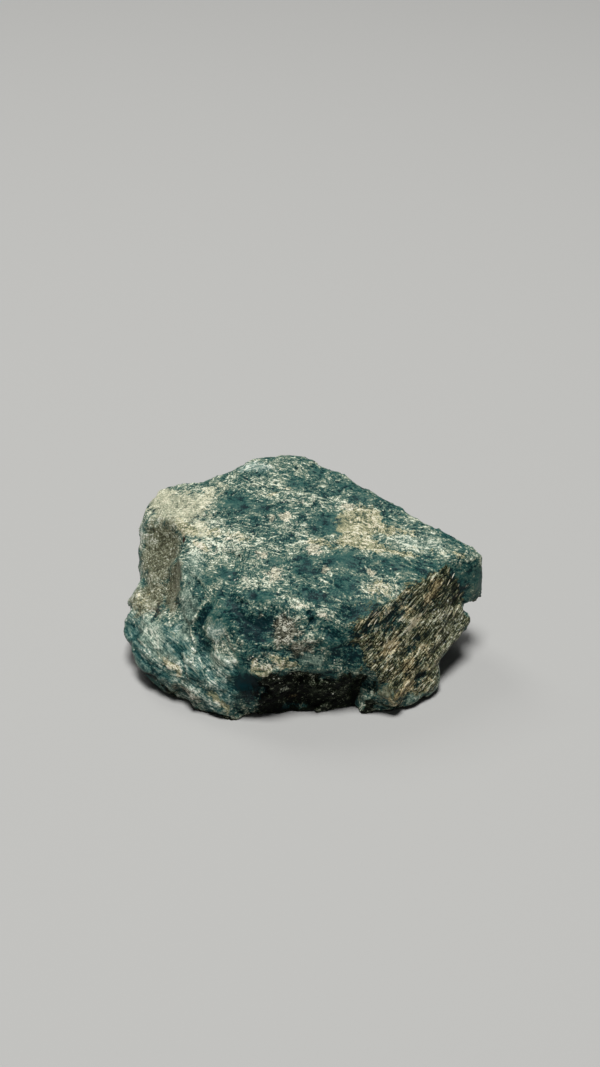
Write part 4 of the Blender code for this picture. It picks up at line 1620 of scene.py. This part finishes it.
@dataclass
class StoneSkin(Piece):
    """The stone itself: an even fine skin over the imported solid, with relief and markings."""

    name: str = "stone_skin"
    grid_mm: float = 0.33
    merge_reach: float = 1e-6
    smoothing: int = 14
    smoothing_factor: float = 0.5
    settle_rounds: int = 60
    settle_factor: float = 0.5
    settle_fade: Pair = (0.5, 1.0)
    base_height_mm: float = 0.16
    # Reach and size of each wander of the markings, and what brings its noise to full reach.
    wander_mm: tuple[Pair, ...] = ((0.4, 4.2), (0.5, 1.3))
    wander_gain: float = 1.6
    seed: int = 7
    chip_size_mm: float = 5.0
    chip_tilt: float = 0.09
    chip_step_mm: float = 0.03
    chip_bend: Pair = (3.0, 0.8)
    small_chip_mm: float = 1.5
    small_chip_tilt: float = 0.11
    sugar_size_mm: float = 0.8
    sugar_height_mm: float = 0.07
    fibre_size_mm: Pair = (4.0, 0.60)
    fibre_height_mm: float = 0.36
    band_size_mm: Pair = (9.0, 1.7)
    band_height_mm: float = 0.16
    streak_size_mm: Pair = (6.0, 1.0)
    streak_height_mm: float = 0.26
    ridge_bend: Pair = (2.5, 0.25)
    ridge_rounding: float = 0.6
    ridge_lot: Triple = (0.7, 0.3, 0.0)
    # What each marking takes from the chips.
    smoother: Shares = ((Mark.GREY, 0.85), (Mark.BAND, 0.45), (Mark.FIBRE, 0.75))
    # What is left on clear places of the chips and the small chips.
    clear_chips: Pair = (0.3, 0.4)
    # Height of the grains away from each marking, and where it is whole.
    sugar_shares: tuple[tuple[Mark, float, float], ...] = (
        (Mark.FROST, 0.8, 1.7),
        (Mark.GREY, 1.0, 0.35),
        (Mark.CLEAR, 1.0, 0.45),
        (Mark.FIBRE, 1.0, 0.4),
    )
    heights_mm: Shares = (
        (Mark.PALE_LINE, 0.08),
        (Mark.CRACK, -0.22),
        (Mark.PIT, -0.50),
        (Mark.RAISED, 0.70),
        (Mark.SUNKEN, -0.90),
    )
    crest_blur: int = 5
    # How strong the painted undercut shade must be for a face to take the duller finish.
    undercut_shade_from: float = 0.5

    def grow(self) -> bpy.types.Mesh:
        """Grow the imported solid's shape in an even fine grid, its old facets smoothed away.

        Returns:
            The mesh of the skin.
        """
        shape = bmesh.new()
        shape.from_mesh(frame["nodes"][NODE].data)
        bmesh.ops.remove_doubles(shape, verts=shape.verts[:], dist=self.merge_reach)
        mesh = bpy.data.meshes.new("grown")
        shape.to_mesh(mesh)
        shape.free()
        thing = put_in_scene("grown", mesh)
        skin = thing.modifiers.new("skin", "REMESH")
        skin.mode = "VOXEL"
        skin.voxel_size = self.grid_mm * MM
        calm = thing.modifiers.new("calm", "SMOOTH")
        calm.factor = self.smoothing_factor
        calm.iterations = self.smoothing
        grown = plain_mesh(thing)
        bpy.data.objects.remove(thing, do_unlink=True)
        return grown

    def settle(self, mesh: bpy.types.Mesh) -> None:
        """Smooth the skin further in the settled places.

        Args:
            mesh: The skin's mesh.
        """
        points = read_points(mesh) / MM
        share = np.zeros(len(points))
        for centre, radius in SETTLED:
            reach = np.linalg.norm(points - np.array(centre), axis=1) / radius
            share = np.maximum(share, 1.0 - smooth_step(reach, *self.settle_fade))
        edges = np.zeros(len(mesh.edges) * 2, np.int64)
        mesh.edges.foreach_get("vertices", edges)
        edges = edges.reshape(-1, 2)
        edges = edges[share[edges].max(axis=1) > 0.0]
        ends = np.concatenate([edges, edges[:, ::-1]])
        touched, group = np.unique(ends[:, 0], return_inverse=True)
        sizes = np.bincount(group)[:, None]
        for _ in range(self.settle_rounds):
            middle = np.zeros((len(touched), 3))
            np.add.at(middle, group, points[ends[:, 1]])
            drift = middle / sizes - points[touched]
            points[touched] += drift * share[touched][:, None] * self.settle_factor
        mesh.vertices.foreach_set("co", (points * MM).ravel())
        mesh.update()

    def paint(self, mesh: bpy.types.Mesh) -> None:
        """Store how strong each marking is at each point of the skin.

        Args:
            mesh: The skin's mesh.
        """
        points = read_points(mesh) / MM
        normals = read_points(mesh, "normal")
        wandered = points.copy()
        noise.seed_set(self.seed)
        for reach, size in self.wander_mm:
            drift = [noise.noise_vector(Vector(point) / size) for point in points]
            wandered += np.array(drift) * reach * self.wander_gain
        layers = {mark: np.zeros(len(points)) for mark in Mark}

        def lay(mark: Mark, share: np.ndarray) -> None:
            """Let a marking be at least as strong as a share."""
            layers[mark] = np.maximum(layers[mark], share)

        for zone in ZONES:
            facing = np.array(Vector(zone.facing).normalized())
            share = smooth_step(normals @ facing, *zone.squarely) * zone.strength
            for direction, start, whole in zone.limits:
                share = share * smooth_step(wandered @ np.array(direction), start, whole)
            lay(zone.mark, share)
        for patch in PATCHES:
            away = wandered - np.array(patch.centre)
            along = away @ np.array(patch.along)
            across = away - np.outer(along, np.array(patch.along))
            reach = np.sqrt((along / patch.long) ** 2 + (across**2).sum(1) / patch.wide**2)
            share = 1.0 - smooth_step(reach, 1.0 - patch.softness, 1.0 + patch.softness)
            lay(patch.mark, share * patch.strength)
        for seam in SEAMS:
            reach = self.beside(points, np.array(seam.points))
            lay(seam.mark, np.clip(1.0 - reach / seam.width, 0.0, 1.0) * seam.strength)
        for mark, values in layers.items():
            layer = mesh.attributes.new(mark.value, "FLOAT", "POINT")
            layer.data.foreach_set("value", values.astype(np.float32))

    def beside(self, points: np.ndarray, line: np.ndarray) -> np.ndarray:
        """Return how far each point is from a line through several points.

        Args:
            points: The points.
            line: The points that the line runs through.

        Returns:
            The distances.
        """
        reach = np.full(len(points), np.inf)
        for start, end in zip(line[:-1], line[1:]):
            step = end - start
            share = np.clip((points - start) @ step / (step @ step), 0.0, 1.0)
            away = np.linalg.norm(points - start - np.outer(share, step), axis=1)
            reach = np.minimum(reach, away)
        return reach

    def sizes(self) -> dict[str, float]:
        """Return the named inputs of the relief."""
        return {
            "Chip Size": self.chip_size_mm,
            "Chip Tilt": self.chip_tilt,
            "Chip Step": self.chip_step_mm,
            "Small Chip Tilt": self.small_chip_tilt,
            "Sugar Height": self.sugar_height_mm,
            "Fibre Height": self.fibre_height_mm,
            "Band Height": self.band_height_mm,
            "Streak Height": self.streak_height_mm,
        }

    def relief_tree(self) -> ShapeTree:
        """Build the tree that roughens the skin and measures its crests.

        Returns:
            The tree, ready to run on the painted skin.
        """
        tree = ShapeTree(name="stone_relief")
        size = {name: tree.ask(name) for name in self.sizes()}
        material = tree.ask("Finish", "Material")
        place = tree.place()
        smooth = (tree.times(tree.mark(mark), share) for mark, share in self.smoother)
        rough = tree.times(*(tree.without(share) for share in smooth))
        clear = tree.mark(Mark.CLEAR)
        left, small_left = (tree.blend(clear, 1.0, share) for share in self.clear_chips)
        bent = tree.bent(place, *self.chip_bend)
        large = self.chips(tree, bent, size["Chip Size"], size["Chip Tilt"], size["Chip Step"])
        small = self.chips(tree, bent, self.small_chip_mm, size["Small Chip Tilt"], 0.0)
        grains = tree.cloud(place, self.sugar_size_mm, 3.0, 0.7).outputs[0]
        grains = tree.centred(grains, 2.0, size["Sugar Height"])
        kept = (tree.blend(tree.mark(mark), *shares) for mark, *shares in self.sugar_shares)
        named = (tree.times(tree.mark(mark), tall) for mark, tall in self.heights_mm)
        height = tree.total(
            tree.times(large, rough, left),
            tree.times(small, rough, small_left),
            tree.times(grains, *kept),
            *self.ridges(tree, place, size),
            tree.total(*named),
        )
        normal = tree.add("GeometryNodeInputNormal").outputs[0]
        raised = tree.scaled(normal, tree.times(height, MM))
        moved = tree.add("GeometryNodeSetPosition", {0: tree.source.outputs[0], 3: raised})
        tree.end(self.with_crests(tree, moved.outputs[0]), material)
        return tree

    def chips(
        self, tree: ShapeTree, place: Socket, size: object, tilt: object, jump: object
    ) -> Socket:
        """Return the height of flat tilted chips.

        Args:
            tree: The tree they are added to.
            place: Wandered position in millimetres.
            size: Size of the chips, in millimetres.
            tilt: How steeply they lie.
            jump: How far one may stand above another, in millimetres.

        Returns:
            The height in millimetres.
        """
        cell = tree.cells(place, tree.calc("DIVIDE", 1.0, size))
        lean = tree.vector("SUBTRACT", cell.outputs[1], (0.5, 0.5, 0.5))
        away = tree.vector("SUBTRACT", place, cell.outputs[2])
        leaning = tree.times(tree.dot(lean, away), tilt, 2.0)
        return tree.total(leaning, tree.times(tree.dot(cell.outputs[1], ACROSS), jump))

    def ridges(
        self, tree: ShapeTree, place: Socket, size: Mapping[str, Socket]
    ) -> list[Socket]:
        """Return the heights of the fibres, the bands and the streaks.

        Args:
            tree: The tree they are added to.
            place: Position in millimetres.
            size: The tree's named inputs.

        Returns:
            The three heights in millimetres.
        """
        heights = []
        for mark, tall, along, drawn in (
            (Mark.FIBRE, "Fibre Height", FIBRE_ALONG, self.fibre_size_mm),
            (Mark.BAND, "Band Height", BAND_ALONG, self.band_size_mm),
            (Mark.STREAK, "Streak Height", STREAK_ALONG, self.streak_size_mm),
        ):
            bent = tree.bent(place, *self.ridge_bend)
            lines = tree.cells(tree.drawn(bent, along, *drawn), 1.0)
            rounded = tree.times(lines.outputs[0], self.ridge_rounding)
            ridge = tree.dot(lines.outputs[1], self.ridge_lot)
            ridge = tree.calc("SUBTRACT", ridge, rounded)
            heights.append(tree.times(ridge, tree.mark(mark), size[tall]))
        return heights

    def with_crests(self, tree: ShapeTree, geometry: Socket) -> Socket:
        """Store how far each point stands proud of its neighbours, in millimetres.

        Args:
            tree: The tree they are added to.
            geometry: The roughened skin.

        Returns:
            The geometry, with its crests stored.
        """
        here = tree.here()
        blurred = tree.add(
            "GeometryNodeBlurAttribute", {"Iterations": self.crest_blur}, data_type="FLOAT_VECTOR"
        )
        vector_in = next(socket for socket in blurred.inputs if socket.type == "VECTOR")
        tree.tree.links.new(here, vector_in)
        vector_out = next(socket for socket in blurred.outputs if socket.type == "VECTOR")
        proud = tree.vector("SUBTRACT", here, vector_out)
        normal = tree.add("GeometryNodeInputNormal").outputs[0]
        return tree.store(geometry, CREST, tree.times(tree.dot(proud, normal), 1.0 / MM))

    def close_base(self, mesh: bpy.types.Mesh) -> None:
        """Make the underside one flat face again, at the height the part rests on.

        Args:
            mesh: The roughened skin.
        """
        shape = bmesh.new()
        shape.from_mesh(mesh)
        for vertex in shape.verts:
            if vertex.co.z < self.base_height_mm * MM:
                vertex.co.z = 0.0
        under = [face for face in shape.faces if all(vertex.co.z == 0.0 for vertex in face.verts)]
        bmesh.ops.delete(shape, geom=under, context="FACES")
        rim = [edge for edge in shape.edges if edge.is_boundary]
        filled = bmesh.ops.holes_fill(shape, edges=rim, sides=0)["faces"]
        bmesh.ops.triangulate(shape, faces=filled, ngon_method="EAR_CLIP")
        loose = [vertex for vertex in shape.verts if not vertex.link_faces]
        bmesh.ops.delete(shape, geom=loose, context="VERTS")
        bmesh.ops.recalc_face_normals(shape, faces=shape.faces[:])
        shape.to_mesh(mesh)
        shape.free()

    def build(self, finish: bpy.types.Material) -> bpy.types.Object:
        """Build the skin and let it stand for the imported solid.

        Args:
            finish: The stone's material.

        Returns:
            The skin's object.
        """
        mesh = self.grow()
        self.settle(mesh)
        self.paint(mesh)
        thing = self.place(mesh)
        thing.data = self.relief_tree().run(thing, {**self.sizes(), "Finish": finish})
        self.close_base(thing.data)
        thing.data.shade_smooth()
        self.line_underside(thing.data)
        return thing

    def line_underside(self, mesh: bpy.types.Mesh) -> None:
        """Give the faces of the painted undercut shade their own duller finish.

        Args:
            mesh: The finished skin.
        """
        mesh.materials.append(StoneFinish(name="apatite_rind", specular=0.03).build())
        dull = np.zeros(len(mesh.vertices), np.float32)
        mesh.attributes[Mark.RIND.value].data.foreach_get("value", dull)
        for face in mesh.polygons:
            if dull[face.vertices[0]] > self.undercut_shade_from:
                face.material_index = 1


@dataclass
class Scatter(Piece):
    """Many small solid pieces set into the skin where a marking is strong."""

    mark: Mark = Mark.FROST
    mark_limits: Pair = (0.35, 0.75)
    spacing_mm: float = 0.6
    density: float = 1.0
    patchy_size_mm: float = 2.4
    patchy_limits: Pair = (0.45, 0.6)
    least: float = 0.25
    seed: int = 7

    def shape(self, tree: ShapeTree) -> Socket:
        """Return the geometry of one small piece."""
        raise NotImplementedError

    def turn(self, tree: ShapeTree, normal: Socket) -> Socket:
        """Return how each small piece is turned."""
        raise NotImplementedError

    def size(self, tree: ShapeTree) -> Socket:
        """Return the three sizes of each small piece, in metres."""
        raise NotImplementedError

    def chance(self, tree: ShapeTree, kind: str, low: object, high: object, turn: int) -> Socket:
        """Return a random value for each small piece.

        Args:
            tree: The tree it is added to.
            kind: FLOAT or FLOAT_VECTOR.
            low: Lowest value.
            high: Highest value.
            turn: Which draw this is.

        Returns:
            The value.
        """
        first = 2 if kind == "FLOAT" else 0
        inputs = {first: low, first + 1: high, "Seed": self.seed * 100 + turn}
        return tree.add("FunctionNodeRandomValue", inputs, data_type=kind).outputs[first // 2]

    def inputs(self) -> dict[str, float]:
        """Return the named inputs of the tree."""
        return {
            "Spacing": self.spacing_mm,
            "Density": self.density,
            "Patchy From": self.patchy_limits[0],
            "Patchy To": self.patchy_limits[1],
        }

    def tree(self) -> ShapeTree:
        """Build the tree that sets the pieces on the skin.

        Returns:
            The tree, ready to run on the finished skin.
        """
        tree = ShapeTree(name=self.name)
        spacing, density, low, high = (tree.ask(name) for name in self.inputs())
        material = tree.ask("Finish", "Material")
        cloud = tree.cloud(tree.place(), self.patchy_size_mm, 4.0, 0.65).outputs[0]
        patchy = tree.step(cloud, low, high)
        kept = tree.without(tree.total(tree.mark(Mark.WINDOW), tree.mark(Mark.CREAM)))
        strong = tree.step(tree.mark(self.mark), *self.mark_limits)
        spots = tree.add(
            "GeometryNodeDistributePointsOnFaces",
            {
                "Mesh": tree.source.outputs[0],
                "Distance Min": tree.times(spacing, MM),
                "Density Max": tree.calc("DIVIDE", density, MM * MM),
                "Density Factor": tree.times(
                    strong, patchy, tree.calc("MAXIMUM", kept, self.least)
                ),
                "Seed": self.seed,
            },
            distribute_method="POISSON",
        )
        shade = self.chance(tree, "FLOAT", 0.0, 1.0, 1)
        placed = tree.add(
            "GeometryNodeInstanceOnPoints",
            {
                "Points": tree.store(spots.outputs[0], SHADE, shade),
                "Instance": self.shape(tree),
                "Rotation": self.turn(tree, spots.outputs["Normal"]),
                "Scale": self.size(tree),
            },
        )
        tree.end(placed.outputs[0], material)
        return tree

    def build(self, skin: bpy.types.Object, finish: bpy.types.Material) -> bpy.types.Object:
        """Build the pieces on a skin.

        Args:
            skin: The finished skin, with its markings.
            finish: The pieces' material.

        Returns:
            The new object.
        """
        mesh = self.tree().run(skin, {**self.inputs(), "Finish": finish})
        mesh.shade_flat()
        for layer in [item.name for item in mesh.attributes if item.name.startswith("mark_")]:
            mesh.attributes.remove(mesh.attributes[layer])
        return self.place(mesh)


@dataclass
class Grains(Scatter):
    """Angular grains, a little flattened and turned every way."""

    size_mm: Pair = (0.12, 0.27)
    full_turn: float = 6.28
    # Least and greatest share of its size that a grain has along each of its own axes.
    least_shares: Triple = (0.5, 0.6, 0.4)
    most_shares: Triple = (1.2, 1.0, 0.9)

    def shape(self, tree: ShapeTree) -> Socket:
        """Return one twenty-sided grain of unit size."""
        return tree.add("GeometryNodeMeshIcoSphere", {"Radius": 1.0, "Subdivisions": 1}).outputs[0]

    def turn(self, tree: ShapeTree, normal: Socket) -> Socket:
        """Return a turn that differs for each grain."""
        return self.chance(tree, "FLOAT_VECTOR", (0.0,) * 3, (self.full_turn,) * 3, 2)

    def size(self, tree: ShapeTree) -> Socket:
        """Return uneven sizes round the grain size.

        Args:
            tree: The tree it is added to.

        Returns:
            The three sizes, in metres.
        """
        whole = tree.times(self.chance(tree, "FLOAT", *self.size_mm, 3), MM)
        uneven = self.chance(tree, "FLOAT_VECTOR", self.least_shares, self.most_shares, 4)
        return tree.scaled(uneven, whole)


@dataclass
class Blades(Scatter):
    """Tapering laths that lie along one direction on the face."""

    along: Vector = FIBRE_ALONG
    length_mm: Pair = (0.3, 0.9)
    width_mm: Pair = (0.07, 0.15)
    thick_mm: Pair = (0.07, 0.18)
    end_width: float = 0.25
    sides: int = 5
    parts: int = 3
    # How far a lath may be turned about its own axes, in radians.
    least_turn: Triple = (-0.8, -0.20, -0.30)
    most_turn: Triple = (0.8, 0.14, 0.30)

    def shape(self, tree: ShapeTree) -> Socket:
        """Return one lath of unit half length along X, thinner towards its ends.

        Args:
            tree: The tree it is added to.

        Returns:
            The lath's geometry.
        """
        rod = tree.add(
            "GeometryNodeMeshCylinder",
            {"Vertices": self.sides, "Side Segments": self.parts, "Radius": 1.0, "Depth": 2.0},
        )
        here = tree.here()
        far = tree.calc("ABSOLUTE", tree.dot(here, UP))
        keep = tree.spread(tree.calc("POWER", far, 2.0), 1.0, self.end_width)
        thin = tree.scaled(tree.vector("MULTIPLY", here, (1.0, 1.0, 0.0)), keep)
        tapered = tree.vector("ADD", thin, tree.vector("MULTIPLY", here, UP))
        moved = tree.add("GeometryNodeSetPosition", {0: rod.outputs[0], 2: tapered})
        quarter = (0.0, math.pi / 2.0, 0.0)
        inputs = {0: moved.outputs[0], "Rotation": quarter}
        return tree.add("GeometryNodeTransform", inputs).outputs[0]

    def turn(self, tree: ShapeTree, normal: Socket) -> Socket:
        """Return a turn that lays each lath along the face, give or take a little.

        Args:
            tree: The tree it is added to.
            normal: The skin's normal.

        Returns:
            The turn.
        """
        upright = tree.add("FunctionNodeAlignRotationToVector", {"Vector": normal}, axis="Z")
        lengthwise = tree.add(
            "FunctionNodeAlignRotationToVector",
            {"Rotation": upright.outputs[0], "Vector": tuple(self.along)},
            axis="X",
            pivot_axis="Z",
        )
        jitter = self.chance(tree, "FLOAT_VECTOR", self.least_turn, self.most_turn, 2)
        euler = tree.add("FunctionNodeEulerToRotation", {0: jitter})
        inputs = {"Rotation": lengthwise.outputs[0], "Rotate By": euler.outputs[0]}
        return tree.add("FunctionNodeRotateRotation", inputs, rotation_space="LOCAL").outputs[0]

    def size(self, tree: ShapeTree) -> Socket:
        """Return the half length, half width and half thickness.

        Args:
            tree: The tree it is added to.

        Returns:
            The three sizes, in metres.
        """
        pairs = (self.length_mm, self.width_mm, self.thick_mm)
        low, high = (tuple(size * MM for size in sizes) for sizes in zip(*pairs))
        return self.chance(tree, "FLOAT_VECTOR", low, high, 3)


# ---------------------------------------------------------------------------------------------
# Studio
# ---------------------------------------------------------------------------------------------


@dataclass(frozen=True)
class Softbox:
    """A square soft light. Place and aim are in metres."""

    name: str
    place: Triple
    size: float
    watts: float
    colour: Triple = (1.0, 1.0, 1.0)
    aim: Triple = (0.0, 0.0, 0.01)

    def build(self) -> None:
        """Hang the light."""
        data = bpy.data.lights.new(self.name, "AREA")
        data.shape = "SQUARE"
        data.size = self.size
        data.energy = self.watts
        data.color = self.colour
        light = put_in_scene(self.name, data)
        light.location = self.place
        light.rotation_mode = "QUATERNION"
        towards = Vector(self.aim) - Vector(self.place)
        light.rotation_quaternion = towards.to_track_quat("-Z", "Y")


@dataclass(frozen=True)
class Studio:
    """Plain pale floor, soft lights and the camera."""

    floor_half: float = 3.0
    air: Triple = (0.80, 0.83, 0.86)
    air_strength: float = 0.05
    camera_place: Triple = (-0.00067, -0.18645, 0.16215)
    camera_pitch_deg: float = 36.5
    camera_lens: float = 43.86
    camera_sensor: float = 36.0
    camera_reach: Pair = (0.01, 20.0)
    lights: tuple[Softbox, ...] = (
        Softbox("window", (-0.50, 0.70, 1.00), 0.50, 3.0, (1.0, 0.99, 0.97)),
        Softbox("overhead", (-0.03, -0.12, 1.50), 0.42, 24.5, (1.0, 0.995, 0.985)),
    )

    def build(self) -> None:
        """Set the stage."""
        self.lay_floor()
        self.fill_air()
        for light in self.lights:
            light.build()
        self.stand_camera()
        bpy.context.scene.view_settings.view_transform = "Standard"

    def lay_floor(self) -> None:
        """Lay the floor, which isn't part of the stone."""
        mesh = bpy.data.meshes.new("floor")
        reach = self.floor_half
        signs = ((-1, -1), (1, -1), (1, 1), (-1, 1))
        mesh.from_pydata([(x * reach, y * reach, 0.0) for x, y in signs], [], [(0, 1, 2, 3)])
        mesh.materials.append(FloorFinish().build())
        floor = put_in_scene("floor", mesh)

    def fill_air(self) -> None:
        """Give the room a faint even light."""
        world = bpy.data.worlds.new("air")
        world.use_nodes = True
        back = world.node_tree.nodes["Background"]
        back.inputs["Color"].default_value = (*self.air, 1.0)
        back.inputs["Strength"].default_value = self.air_strength
        bpy.context.scene.world = world

    def stand_camera(self) -> None:
        """Stand the camera in its place."""
        data = bpy.data.cameras.new("camera")
        data.lens = self.camera_lens
        data.sensor_width = self.camera_sensor
        data.clip_start, data.clip_end = self.camera_reach
        camera = put_in_scene("camera", data)
        camera.location = self.camera_place
        camera.rotation_euler = (math.radians(90.0 - self.camera_pitch_deg), 0.0, 0.0)
        bpy.context.scene.camera = camera


def clear_stage() -> None:
    """Remove whatever the scene started with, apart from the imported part."""
    kept = {*frame["bodies"].values(), *frame["nodes"].values()}
    for thing in [item for item in bpy.data.objects if item not in kept]:
        bpy.data.objects.remove(thing, do_unlink=True)


def main() -> None:
    """Build the dressed stone and its stage."""
    logging.basicConfig(level=logging.INFO, format="%(name)s: %(message)s")
    clear_stage()
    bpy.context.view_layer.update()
    Studio().build()
    skin = StoneSkin()
    skin.build(StoneFinish().build())
    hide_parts(NODE)
    skin.hand_over()
    skin.report()
    grains = Grains(
        "white_grains",
        mark=Mark.FROST,
        spacing_mm=0.42,
        density=4.0,
        patchy_limits=(0.42, 0.62),
    )
    laths = Blades(
        "fibre_laths",
        mark=Mark.FIBRE,
        spacing_mm=0.50,
        density=3.0,
        patchy_limits=(0.44, 0.58),
    )
    for piece, finish in ((grains, GrainFinish()), (laths, BladeFinish())):
        piece.build(skin.thing, finish.build())
        piece.hand_over()
        piece.report()


if __name__ == "__main__":
    main()
